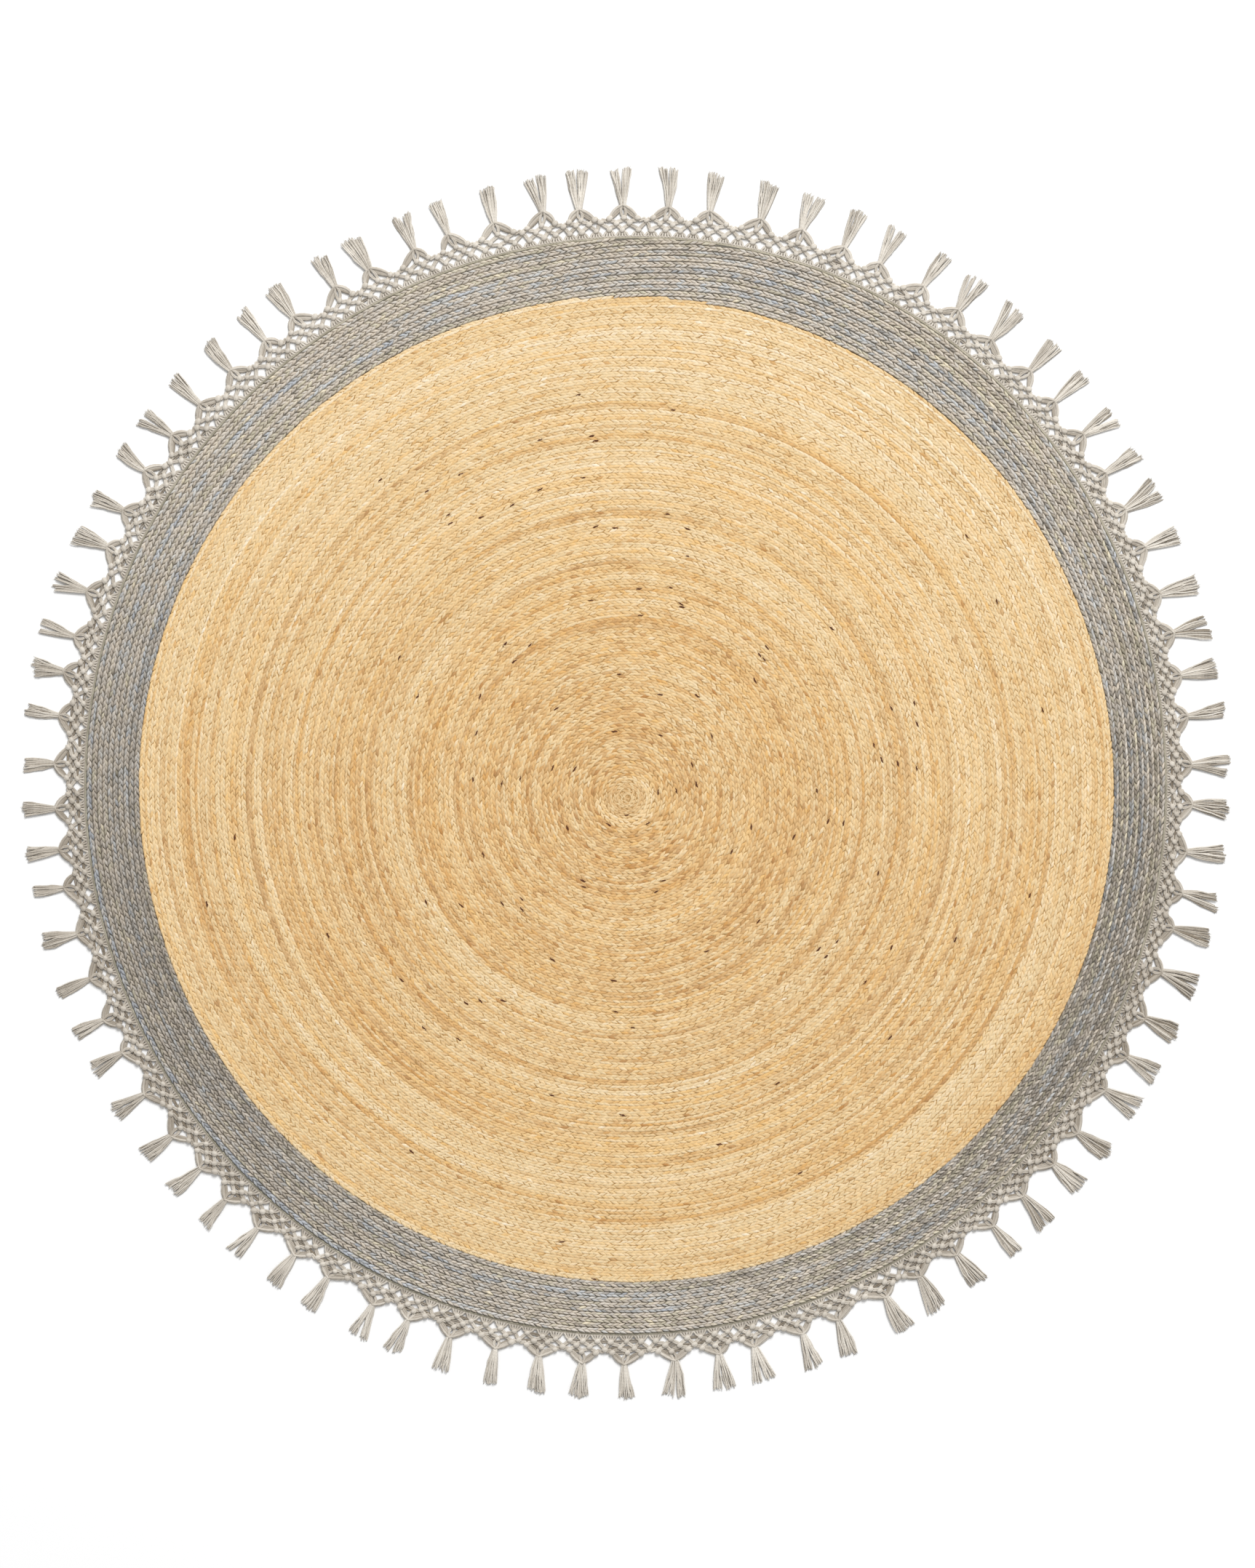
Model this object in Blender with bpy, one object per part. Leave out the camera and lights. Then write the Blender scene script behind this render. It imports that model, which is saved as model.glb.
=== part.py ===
"""Round braided jute rug with a grey braided border and a knotted fringe.

Metres, +Z up. The rug lies flat, its underside on z = 0, with the middle of
its outline on the origin. The field is one jute braid wound from the middle,
the border is the grey braid sewn round it, a ribbed tape heads the fringe,
and the fringe is a net of knotted cotton cord with a tassel on every scallop.
"""
import math

import bmesh
import bpy
from mathutils import Vector

# Braid: one round is one turn of the flat braid, highest along its middle.
FIELD_RADIUS = 0.5608
FIELD_ROUNDS = 47
FIELD_CREST = 0.0066
FIELD_GROOVE = 0.0050
FIELD_MIDDLE = (0.0004, -0.0162)
BORDER_ROUNDS = 5
BORDER_CREST = 0.0070
BORDER_GROOVE = 0.0052
EDGE_RADIUS = 0.6270
CLEARANCE = 0.0003

# Waves of the two outlines: (waves in a full turn, cosine part, sine part).
SEAM_WAVES = ((1, 0.0008, -0.0066), (2, -0.0032, -0.0012), (3, -0.0008, 0.0002))
EDGE_WAVES = ((1, 0.0003, -0.0029), (2, -0.0047, 0.0018), (3, -0.0012, 0.0003), (4, -0.0006, -0.0012))

# Corners of a ring of the braid: few near the middle, more further out.
RING_CORNERS = ((0.10, 14), (0.34, 24), (1.00, 41))

# Tape
TAPE_WIDTH = 0.0042
TAPE_HEIGHT = 0.0022

# Fringe: one scallop of the net for each tassel.
TASSELS = 82
TASSEL_STRAY = 0.11
FRINGE_DEPTH = 0.0736
DEPTH_WAVES = ((1, 0.0000, 0.0031), (2, -0.0024, 0.0000))
DEPTH_STRAY = 0.0022
NET_HEADING = 0.0014
NET_HEIGHT = 0.0042
NET_FULL = (0.004, 0.024)
GAPS_IN_SCALLOP = 3
GAP_WIDTH = 0.0100
GAP_INNER = 0.0016
GAP_OUTER = 0.0068
NECK_HEIGHT = 0.0052
LOCK_HEIGHT = 0.0026

# Half a scallop from valley to neck: share of the way round, distance out.
# NECK and FAN are half a width and a distance out.
SCALLOP = (
    ("valley", 1.00, 0.0160),
    ("shoulder", 0.74, 0.0204),
    ("arch", 0.36, 0.0268),
)
NECK = (0.0036, 0.0318)
FAN = (0.0074, 0.0445)
SLIT_ROOT = 0.0480
SLIT_STRAY = 0.004
SLIT_GAP = 0.0018
TIP_SPREAD = 0.0104
TIP_SPREAD_STRAY = 0.0018
TIP_LEAN = 0.0045
TIP_SLOPE = 0.12


def waves(rows, angle):
    """Sum of the waves in rows at an angle round the rug."""
    return sum(c * math.cos(n * angle) + s * math.sin(n * angle) for n, c, s in rows)


def scatter(index, kind):
    """A value from -1 to 1 that looks random and never changes."""
    return 2 * ((math.sin(index * 12.9898 + kind * 78.233) * 43758.5453) % 1) - 1


def polar(angle, radius):
    """Point of the floor at an angle and a radius."""
    return Vector((radius * math.cos(angle), radius * math.sin(angle)))


def seam_point(angle, offset=0.0):
    """Point of the joint between field and border."""
    return polar(angle, FIELD_RADIUS + waves(SEAM_WAVES, angle) + offset)


def edge_point(angle, offset=0.0):
    """Point of the tape's outer edge, where the net starts."""
    return polar(angle, EDGE_RADIUS + waves(EDGE_WAVES, angle) + offset)


def field_point(angle, share):
    """Point of the field from its middle, share 0, to its outer edge, 1."""
    return Vector(FIELD_MIDDLE).lerp(seam_point(angle), share)


def border_point(angle, share):
    """Point of the border from its inner edge, share 0, to its outer, 1."""
    inner = seam_point(angle, CLEARANCE)
    outer = edge_point(angle, -TAPE_WIDTH - CLEARANCE)
    return inner.lerp(outer, share)


def corners_at(share):
    """Corners of a ring of the field at a share of its radius."""
    return next(corners for limit, corners in RING_CORNERS if share <= limit)


def material(name, red, green, blue, roughness):
    """Plain cloth material from an 8-bit display colour."""
    def linear(value):
        value /= 255
        return value / 12.92 if value <= 0.04045 else ((value + 0.055) / 1.055) ** 2.4
    made = bpy.data.materials.new(name)
    made.use_nodes = True
    shader = made.node_tree.nodes["Principled BSDF"]
    shader.inputs["Base Color"].default_value = (linear(red), linear(green), linear(blue), 1)
    shader.inputs["Roughness"].default_value = roughness
    shader.inputs["Metallic"].default_value = 0
    return made


def add_part(name, mesh, collection, look):
    """Object of its own for one piece of the rug."""
    made = bpy.data.objects.new(name, mesh)
    made.data.materials.append(look)
    collection.objects.link(made)
    return made


def loft(name, rings, closed):
    """Mesh through rings of (corners, point function, height)."""
    bm = bmesh.new()
    loops = []
    for corners, point, height in rings:
        circle = bmesh.ops.create_circle(bm, segments=corners, radius=1)["verts"]
        for index, corner in enumerate(circle):
            corner.co = (*point(math.tau * index / corners), height)
        loops.append({edge for corner in circle for edge in corner.link_edges})
    pairs = list(zip(loops, loops[1:]))
    if closed:
        pairs.append((loops[-1], loops[0]))
    for inner, outer in pairs:
        bmesh.ops.bridge_loops(bm, edges=list(inner | outer))
    if not closed:
        bmesh.ops.edgenet_fill(bm, edges=list(loops[0]))
        bmesh.ops.edgenet_fill(bm, edges=list(loops[-1]))
    bmesh.ops.recalc_face_normals(bm, faces=bm.faces)
    mesh = bpy.data.meshes.new(name)
    bm.to_mesh(mesh)
    bm.free()
    return mesh


def field_mesh():
    """The coiled field: a crest and a groove for every round."""
    rings = []
    for line in range(1, 2 * FIELD_ROUNDS + 1):
        share = line / (2 * FIELD_ROUNDS)
        height = FIELD_CREST if line % 2 else FIELD_GROOVE
        rings.append((corners_at(share), lambda a, s=share: field_point(a, s), height))
    rings.append((corners_at(1), lambda a: field_point(a, 1), 0))
    return loft("natural_field", rings, closed=False)


def border_mesh():
    """The border: a ring of braid rounds, flat below."""
    corners = corners_at(1)
    rings = [(corners, lambda a: border_point(a, 0), 0)]
    for line in range(2 * BORDER_ROUNDS + 1):
        share = line / (2 * BORDER_ROUNDS)
        height = BORDER_CREST if line % 2 else BORDER_GROOVE
        rings.append((corners, lambda a, s=share: border_point(a, s), height))
    rings.append((corners, lambda a: border_point(a, 1), 0))
    return loft("grey_border", rings, closed=True)


def even_ring(corners, offset):
    """Outline at a distance from the tape's outer edge."""
    return [edge_point(math.tau * corner / corners, offset) for corner in range(corners)]


def flat_mesh(name, outlines, height, collection):
    """Closed mesh from flat outlines, the inner ones cut out, its underside on the floor."""
    outline = bpy.data.curves.new(name, "CURVE")
    outline.dimensions = "2D"
    outline.fill_mode = "BOTH"
    outline.extrude = height / 2
    for points in outlines:
        spline = outline.splines.new("POLY")
        spline.points.add(len(points) - 1)
        for target, point in zip(spline.points, points):
            target.co = (*point, 0, 1)
        spline.use_cyclic_u = True
    guide = bpy.data.objects.new(name, outline)
    collection.objects.link(guide)
    bpy.context.view_layer.update()
    mesh = bpy.data.meshes.new_from_object(guide.evaluated_get(bpy.context.evaluated_depsgraph_get()))
    bpy.data.objects.remove(guide)
    bm = bmesh.new()
    bm.from_mesh(mesh)
    bmesh.ops.remove_doubles(bm, verts=bm.verts, dist=1e-6)
    bmesh.ops.translate(bm, verts=bm.verts, vec=(0, 0, height / 2))
    bmesh.ops.recalc_face_normals(bm, faces=bm.faces)
    bm.to_mesh(mesh)
    bm.free()
    return mesh


def tape_mesh(collection):
    """The fringe's heading tape, a flat ring against the border."""
    outlines = [even_ring(TASSELS, -CLEARANCE), even_ring(corners_at(1), -TAPE_WIDTH)]
    return flat_mesh("heading_tape", outlines, TAPE_HEIGHT, collection)


def tassel_angle(index):
    """Direction of a tassel, a little off its even place."""
    return math.tau * (index + 0.5 + TASSEL_STRAY * scatter(index % TASSELS, 1)) / TASSELS


def valley_angle(index):
    """Direction of the valley before a tassel."""
    return (tassel_angle(index - 1) + tassel_angle(index)) / 2


def fringe_stretch(angle):
    """How much deeper than usual the fringe is at an angle."""
    return 1 + waves(DEPTH_WAVES, angle) / FRINGE_DEPTH


def out_point(angle, distance, sideways=0.0):
    """Point of the fringe at a distance out from the tape."""
    radius = edge_point(angle).length + distance * fringe_stretch(angle)
    return polar(angle + sideways / radius, radius)


def scallop_side(index, side):
    """Net outline from a valley (left out on the right) up to the neck."""
    centre = tassel_angle(index)
    valley = valley_angle(index if side < 0 else index + 1)
    points = [out_point(centre + share * (valley - centre), out) for _, share, out in SCALLOP]
    points += [out_point(centre, out, side * half) for half, out in (NECK, FAN)]
    return points if side < 0 else points[:0:-1]


def tassel_tips(index):
    """Ends of the tassel's locks, with the slits between them."""
    centre = tassel_angle(index)
    locks = 3 if scatter(index, 2) > 0 else 2
    spread = TIP_SPREAD + TIP_SPREAD_STRAY * scatter(index, 3)
    lean = TIP_LEAN * scatter(index, 4)
    points = []
    for lock in range(locks):
        reach = FRINGE_DEPTH + DEPTH_STRAY * (scatter(index, 5 + lock) - 1)
        left = -spread + 2 * spread * lock / locks + SLIT_GAP / 2 * (lock > 0)
        right = -spread + 2 * spread * (lock + 1) / locks - SLIT_GAP / 2 * (lock < locks - 1)
        points.append(out_point(centre, reach - abs(left) * TIP_SLOPE, lean + left))
        points.append(out_point(centre, reach - abs(right) * TIP_SLOPE, lean + right))
        if lock < locks - 1:
            across = NECK[0] * (2 * (lock + 1) / locks - 1)
            points.append(out_point(centre, SLIT_ROOT + SLIT_STRAY * scatter(index, 8 + lock), across))
    return points


def fringe_outline():
    """Outer outline of the whole fringe."""
    points = []
    for index in range(TASSELS):
        points += scallop_side(index, -1) + tassel_tips(index) + scallop_side(index, 1)
    return points


def net_gap(index, gap):
    """One open triangle of the net, its point towards the tape."""
    left, right = valley_angle(index), valley_angle(index + 1)
    centre = left + (right - left) * gap / GAPS_IN_SCALLOP
    return [
        out_point(centre, GAP_INNER),
        out_point(centre, GAP_OUTER, GAP_WIDTH / 2),
        out_point(centre, GAP_OUTER, -GAP_WIDTH / 2),
    ]


def fringe_height(out):
    """Height of the fringe at a distance out: net, thick neck, thin locks."""
    steps = (
        (0, NET_HEADING), (NET_FULL[0], NET_HEIGHT), (NET_FULL[1], NET_HEIGHT),
        (NECK[1], NECK_HEIGHT), (FAN[1], NET_HEIGHT), (FRINGE_DEPTH, LOCK_HEIGHT),
    )
    for (near, low), (far, high) in zip(steps, steps[1:]):
        if out <= far:
            return low + (high - low) * max(0.0, out - near) / (far - near)
    return LOCK_HEIGHT


def fringe_mesh(collection):
    """The knotted fringe, from a flat outline with its gaps cut out."""
    gaps = [net_gap(index, gap) for index in range(TASSELS) for gap in range(GAPS_IN_SCALLOP)]
    outlines = [fringe_outline(), even_ring(TASSELS, 0), *gaps]
    mesh = flat_mesh("knotted_fringe", outlines, NET_HEIGHT, collection)
    for corner in mesh.vertices:
        if corner.co.z > NET_HEIGHT / 2:
            angle = math.atan2(corner.co.y, corner.co.x)
            out = (corner.co.xy.length - edge_point(angle).length) / fringe_stretch(angle)
            corner.co.z = fringe_height(out)
    return mesh


def centre_outline(parts):
    """Slide all pieces so that their box is centred on the origin."""
    points = [corner.co for part in parts for corner in part.data.vertices]
    middle = [(min(p[axis] for p in points) + max(p[axis] for p in points)) / 2 for axis in (0, 1)]
    for part in parts:
        part.location = (-middle[0], -middle[1], 0)
    print("outline slid by", middle)


def main():
    for old in list(bpy.data.objects):
        bpy.data.objects.remove(old)
    rug = bpy.data.collections.new("round_jute_rug")
    bpy.context.scene.collection.children.link(rug)
    jute = material("natural_jute", 230, 195, 145, 0.85)
    grey = material("grey_jute", 169, 163, 152, 0.85)
    ribbed = material("ribbed_tape", 176, 170, 148, 0.80)
    cotton = material("cotton_cord", 205, 198, 187, 0.80)
    parts = [
        add_part("natural_field", field_mesh(), rug, jute),
        add_part("grey_border", border_mesh(), rug, grey),
        add_part("heading_tape", tape_mesh(rug), rug, ribbed),
        add_part("knotted_fringe", fringe_mesh(rug), rug, cotton),
    ]
    centre_outline(parts)


main()
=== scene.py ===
# %% [markdown]
# # A round jute rug with a grey border and a knotted fringe
#
# The real rug is one long flat braid of jute, wound from the middle and sewn
# round by round. A grey braid follows for the last rounds, a narrow ribbed
# tape covers its edge, and a net of cotton cord with a tassel on every
# scallop is sewn to the tape. The frame holds the plain solids of these four
# pieces. Each of them gets its real surface here, in the same place and size.

# %% Load the frame
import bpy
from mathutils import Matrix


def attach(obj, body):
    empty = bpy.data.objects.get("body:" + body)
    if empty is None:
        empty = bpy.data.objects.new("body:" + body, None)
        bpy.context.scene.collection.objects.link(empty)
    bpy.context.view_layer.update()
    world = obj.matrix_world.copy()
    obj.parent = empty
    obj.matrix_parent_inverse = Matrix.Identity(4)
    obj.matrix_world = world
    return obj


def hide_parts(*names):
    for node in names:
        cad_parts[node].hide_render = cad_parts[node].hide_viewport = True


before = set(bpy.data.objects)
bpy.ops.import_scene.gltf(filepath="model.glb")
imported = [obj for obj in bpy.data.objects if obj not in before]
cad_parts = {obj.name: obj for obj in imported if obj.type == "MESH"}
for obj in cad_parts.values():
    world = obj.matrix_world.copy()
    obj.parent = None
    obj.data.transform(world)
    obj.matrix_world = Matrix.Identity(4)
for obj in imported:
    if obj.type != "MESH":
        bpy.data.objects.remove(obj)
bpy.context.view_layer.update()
print("frame holds", sorted(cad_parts))

# %% Tools of this script
import math

import bpy
import numpy as np
from mathutils import Matrix, Vector

scene = bpy.context.scene

# %% [markdown]
# ## The outline that every piece follows
#
# A hand-sewn rug is never a true circle. Two outlines were measured: the
# joint between jute and grey, and the outer edge of the tape. Each is a
# radius with a few slow waves on it, so one short formula gives the same
# line to the solids and to the pieces made here.

# %% Sizes shared with the solids, in metres
FIELD_RADIUS = 0.5608
FIELD_ROUNDS = 47
FIELD_MIDDLE = (0.0004, -0.0162)
BORDER_ROUNDS = 5
EDGE_RADIUS = 0.6270
CLEARANCE = 0.0003
SEAM_WAVES = ((1, 0.0008, -0.0066), (2, -0.0032, -0.0012), (3, -0.0008, 0.0002))
EDGE_WAVES = ((1, 0.0003, -0.0029), (2, -0.0047, 0.0018), (3, -0.0012, 0.0003), (4, -0.0006, -0.0012))
TAPE_WIDTH = 0.0042
TASSELS = 82
TASSEL_STRAY = 0.11
FRINGE_DEPTH = 0.0736
DEPTH_WAVES = ((1, 0.0000, 0.0031), (2, -0.0024, 0.0000))
DEPTH_STRAY = 0.0022
TIP_SPREAD = 0.0104
TIP_SPREAD_STRAY = 0.0018
TIP_LEAN = 0.0045
TIP_SLOPE = 0.12


def waves(rows, angle):
    """Sum of the waves in rows at an angle round the rug."""
    return sum(c * np.cos(n * angle) + s * np.sin(n * angle) for n, c, s in rows)


def scatter(index, kind):
    """Values from -1 to 1 that look random and never change."""
    return 2 * ((np.sin(index * 12.9898 + kind * 78.233) * 43758.5453) % 1) - 1


def drift(place, kind):
    """A slow change from one scattered value to the next."""
    cell = np.floor(place)
    step = place - cell
    step = step * step * (3 - 2 * step)
    return (1 - step) * scatter(cell, kind) + step * scatter(cell + 1, kind)


def polar(angle, radius):
    """Points of the floor at an angle and a radius."""
    return np.stack([radius * np.cos(angle), radius * np.sin(angle)], axis=-1)


def lifted(points, height):
    """Points of the floor at one height, or each at its own."""
    return np.column_stack([points, np.broadcast_to(height, len(points))])


def seam_radius(angle):
    """Radius of the joint between jute and grey."""
    return FIELD_RADIUS + waves(SEAM_WAVES, angle)


def edge_radius(angle):
    """Radius of the tape's outer edge, where the net starts."""
    return EDGE_RADIUS + waves(EDGE_WAVES, angle)


def edge_point(angle, distance):
    """Point at a distance outside the tape's outer edge."""
    return polar(angle, edge_radius(angle) + distance)


def field_point(angle, share):
    """Point of the field from its middle, share 0, to the joint, 1."""
    middle = np.array(FIELD_MIDDLE)
    return middle + (polar(angle, seam_radius(angle)) - middle) * np.asarray(share)[..., None]


def border_point(angle, share):
    """Point of the border from the joint, share 0, to the tape, 1."""
    inner = seam_radius(angle) + CLEARANCE
    outer = edge_radius(angle) - TAPE_WIDTH - CLEARANCE
    return polar(angle, inner + (outer - inner) * share)


# %% Places along the fringe
def tassel_angle(index):
    """Direction of a tassel, a little off its even place."""
    return math.tau * (index + 0.5 + TASSEL_STRAY * scatter(index % TASSELS, 1)) / TASSELS


def valley_angle(index):
    """Direction of the valley before a tassel."""
    return (tassel_angle(index - 1) + tassel_angle(index)) / 2


def fringe_stretch(angle):
    """How much deeper than usual the fringe is at an angle."""
    return 1 + waves(DEPTH_WAVES, angle) / FRINGE_DEPTH


def out_point(angle, distance, sideways=0.0):
    """Point of the fringe at a distance out from the tape."""
    radius = edge_radius(angle) + distance * fringe_stretch(angle)
    return polar(angle + sideways / radius, radius)


def fringe_point(angle, distance, sideways, height):
    """The same with a height over the floor."""
    return (*out_point(angle, distance, sideways), height)


def locks_of(index):
    """A tassel's locks, as (left, right, reach) of each one's end."""
    count = 3 if scatter(index, 2) > 0 else 2
    spread = TIP_SPREAD + TIP_SPREAD_STRAY * scatter(index, 3)
    lean = TIP_LEAN * scatter(index, 4)
    rows = []
    for lock in range(count):
        reach = FRINGE_DEPTH + DEPTH_STRAY * (scatter(index, 5 + lock) - 1)
        left = -spread + 2 * spread * lock / count
        right = -spread + 2 * spread * (lock + 1) / count
        rows.append((lean + left, lean + right, reach))
    return rows


tips = []
for tassel in range(TASSELS):
    lean = TIP_LEAN * scatter(tassel, 4)
    for left, right, reach in locks_of(tassel):
        for side in (left, right):
            tips.append(out_point(tassel_angle(tassel), reach - abs(side - lean) * TIP_SLOPE, side))
tips = np.array(tips)
SLIDE = -(tips.min(axis=0) + tips.max(axis=0)) / 2
print("pieces slide by", SLIDE.round(5), "so that the rug is centred")

# %% [markdown]
# ## Camera, floor and light
#
# The photograph looks straight down on the rug. A camera six metres up with a
# long lens sees it without distortion, and the width of the view comes from
# the scale of 0.8333 mm for each pixel. The light is soft and comes from the
# top edge, a little from the right: it leaves the pale shadows that lie below
# the tassels. The floor is white, so the net's openings read clearly.

# %% Camera
PIXEL = 0.0008333
PHOTO_SIZE = (1725, 2156)
RUG_PIXEL = (860.5, 1076.5)
CAMERA_HEIGHT = 6.0
SENSOR = 36
camera = bpy.data.objects.new("camera", bpy.data.cameras.new("camera"))
scene.collection.objects.link(camera)
camera.location = (
    (PHOTO_SIZE[0] / 2 - RUG_PIXEL[0]) * PIXEL,
    (RUG_PIXEL[1] - PHOTO_SIZE[1] / 2) * PIXEL,
    CAMERA_HEIGHT,
)
camera.data.sensor_width = SENSOR
camera.data.lens = SENSOR * CAMERA_HEIGHT / (PHOTO_SIZE[1] * PIXEL)
camera.data.clip_end = 50
scene.camera = camera
scene.view_settings.view_transform = "Standard"
print("lens", round(camera.data.lens, 1), "mm")


# %% Helper for colours
def tint(red, green, blue):
    """Linear colour of an 8-bit display colour."""
    values = [v / 255 for v in (red, green, blue)]
    return (*[v / 12.92 if v <= 0.04045 else ((v + 0.055) / 1.055) ** 2.4 for v in values], 1)


# %% Helpers that build nodes
def put(value, socket):
    """Link a value from another node to a socket, or set a plain one there."""
    value = value.socket if isinstance(value, Number) else value
    if isinstance(value, bpy.types.NodeSocket):
        socket.id_data.links.new(value, socket)
    else:
        socket.default_value = value


def add(tree, kind, inputs=(), **settings):
    """A node with its settings, and its inputs as values or links."""
    made = tree.nodes.new(kind)
    for name, value in settings.items():
        setattr(made, name, value)
    for key, value in dict(inputs).items():
        put(value, made.inputs[key])
    return made


def calc(tree, operation, *inputs):
    """The result of one Math node."""
    return Number(add(tree, "ShaderNodeMath", dict(enumerate(inputs)), operation=operation).outputs[0])


class Number:
    """A number in a tree. The usual signs between two of them add a Math node."""

    def __init__(self, socket):
        self.socket = socket

    def math(self, operation, *others):
        """The result of a Math node that starts from this number."""
        return calc(self.socket.id_data, operation, self, *others)

    def __add__(self, other):
        return self.math("ADD", other)

    def __sub__(self, other):
        return self.math("SUBTRACT", other)

    def __rsub__(self, other):
        return calc(self.socket.id_data, "SUBTRACT", other, self)

    def __mul__(self, other):
        return self.math("MULTIPLY", other)

    def __truediv__(self, other):
        return self.math("DIVIDE", other)

    def __pow__(self, other):
        return self.math("POWER", other)

    def __gt__(self, other):
        return self.math("GREATER_THAN", other)


def vector(tree, x, y, z):
    """Three numbers joined to a vector."""
    return add(tree, "ShaderNodeCombineXYZ", {0: x, 1: y, 2: z}).outputs[0]


def parts(vector):
    """The three numbers of a vector."""
    apart = add(vector.id_data, "ShaderNodeSeparateXYZ", {0: vector})
    return [Number(socket) for socket in apart.outputs]


def held(tree, name):
    """The value that a piece holds under a name."""
    return Number(add(tree, "ShaderNodeAttribute", attribute_name=name).outputs["Fac"])


def object_place(tree):
    """Where on its object a point lies."""
    return add(tree, "ShaderNodeTexCoord").outputs["Object"]


def noise(tree, scale, detail=2.0):
    """Soft noise in the object's own space."""
    made = add(tree, "ShaderNodeTexNoise", {"Vector": object_place(tree), "Scale": scale, "Detail": detail})
    return Number(made.outputs["Fac"])


def new_group(kind, name, inputs, outputs):
    """A tree with named sockets, the outputs of its first node and the inputs of its last."""
    tree = bpy.data.node_groups.new(name, kind)
    for way, sockets in (("INPUT", inputs), ("OUTPUT", outputs)):
        for label, sort in sockets.items():
            tree.interface.new_socket(label, in_out=way, socket_type="NodeSocket" + sort)
    return tree, tree.nodes.new("NodeGroupInput").outputs, tree.nodes.new("NodeGroupOutput").inputs


# %% Helpers for colours and surfaces
WHITE = (1, 1, 1, 1)


def blend(tree, kind, share, first, second):
    """The colour from one Mix node, whose colour sockets are numbers 6 and 7."""
    inputs = {0: share, 6: first, 7: second}
    return add(tree, "ShaderNodeMix", inputs, data_type="RGBA", blend_type=kind).outputs[2]


def ramp(tree, place, stops):
    """Colour from a ramp of (place, colour)."""
    made = add(tree, "ShaderNodeValToRGB", {0: place})
    elements = made.color_ramp.elements
    while len(elements) < len(stops):
        elements.new(1)
    for element, (where, colour) in zip(elements, stops):
        element.position = where
        element.color = colour
    return made.outputs[0]


def new_look(name, roughness):
    """A material with its shader, and the tree to add nodes to."""
    look = bpy.data.materials.new(name)
    look.use_nodes = True
    shader = look.node_tree.nodes["Principled BSDF"]
    shader.inputs["Roughness"].default_value = roughness
    shader.inputs["Specular IOR Level"].default_value = 0.25
    return look, look.node_tree, shader


def dress(tree, shader, colour, height, strength, depth):
    """Give a shader its colour and a fine relief."""
    relief = add(tree, "ShaderNodeBump", {"Strength": strength, "Distance": depth, "Height": height})
    put(colour, shader.inputs["Base Color"])
    put(relief.outputs[0], shader.inputs["Normal"])


# %% Floor and light
look, tree, shader = new_look("white_floor", 0.9)
shader.inputs["Base Color"].default_value = (0.93, 0.93, 0.93, 1)
shader.inputs["Specular IOR Level"].default_value = 0.0
bpy.ops.mesh.primitive_plane_add(size=14, location=(0, 0, -0.0003))
floor = bpy.context.object
floor.name = "white_floor"
floor.data.materials.append(look)

world = bpy.data.worlds.new("studio")
world.use_nodes = True
world.node_tree.nodes["Background"].inputs["Color"].default_value = WHITE
world.node_tree.nodes["Background"].inputs["Strength"].default_value = 0.52
scene.world = world

LIGHT_PLACE = Vector((2.4, 7.8, 9.6))
lamp = bpy.data.lights.new("window_light", "AREA")
lamp.size = 5.0
lamp.energy = 1400
window = bpy.data.objects.new("window_light", lamp)
scene.collection.objects.link(window)
window.location = LIGHT_PLACE
window.rotation_euler = (-LIGHT_PLACE).to_track_quat("-Z", "Y").to_euler()
print("light stands", [round(v, 1) for v in LIGHT_PLACE])

# %% [markdown]
# ## Fibres of jute
#
# A strand of jute is a flat bundle of long fibres that lie side by side.
# Close up they show as fine lines along the strand, with small changes of
# colour from one fibre to the next. One node group draws them from what each
# plait holds: how far along the strand and how far across it a point lies,
# how high on the plait, and a seed. The low rim lies between its neighbours,
# where shade falls, so painted shade makes it darker. Both jutes use the
# group, each with its own colours.

# %% Group: fibres of a plait
FIBRE_WAVE = (3.0, 0.10)
FIBRE_STRETCH = (1.6, 13.0, 37.0)
# How fast the painted shade on a plait's low rim fades towards its crown.
RIM_SHADE_POWER = 2.8
FIBRE_TONES = ((0.30, (0.80, 0.77, 0.72, 1)), (0.50, (0.98, 0.98, 0.98, 1)), (0.72, WHITE))
# Colour of the painted shade on a plait's low rim.
RIM_SHADE_COLOUR = (0.42, 0.36, 0.28, 1)


def fibre_group():
    """Fine lines along a strand, and how much painted shade a point gets on the plait's low rim."""
    inputs = dict.fromkeys(("Along", "Across", "Rise", "Seed"), "Float")
    outputs = {"Fibre": "Float", "Seam": "Float"}
    tree, given, wanted = new_group("ShaderNodeTree", "jute_fibres", inputs, outputs)
    along, across, rise, seed = (Number(socket) for socket in given[:4])
    across = across + (along * FIBRE_WAVE[0]).math("SINE") * FIBRE_WAVE[1]
    place = vector(tree, along * FIBRE_STRETCH[0], across * FIBRE_STRETCH[1], seed * FIBRE_STRETCH[2])
    lines = add(tree, "ShaderNodeTexNoise", {
        "Vector": place, "Scale": 1.0, "Detail": 2.0, "Roughness": 0.6})
    put(lines.outputs["Fac"], wanted["Fibre"])
    # Painted shade, strongest on the low rim of a plait.
    put((1.0 - rise) ** RIM_SHADE_POWER, wanted["Seam"])
    return tree


jute_fibres = fibre_group()


def plait_surface(tree, shader, colour, rim_shade):
    """Give a plait's own colour its fibres, painted shade on its low rim and fine relief."""
    along, across, _ = parts(add(tree, "ShaderNodeUVMap", uv_map="plait").outputs[0])
    fibres = add(tree, "ShaderNodeGroup", {
        "Along": along, "Across": across, "Rise": held(tree, "rise"), "Seed": held(tree, "seed"),
    }, node_tree=jute_fibres).outputs
    colour = blend(tree, "MULTIPLY", 0.7, colour, ramp(tree, fibres["Fibre"], FIBRE_TONES))
    # Painted shade on the plait's low rim, in the share given for each jute.
    colour = blend(tree, "MULTIPLY", Number(fibres["Seam"]) * rim_shade, colour, RIM_SHADE_COLOUR)
    dress(tree, shader, colour, fibres["Fibre"], 0.5, 0.0003)


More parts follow.
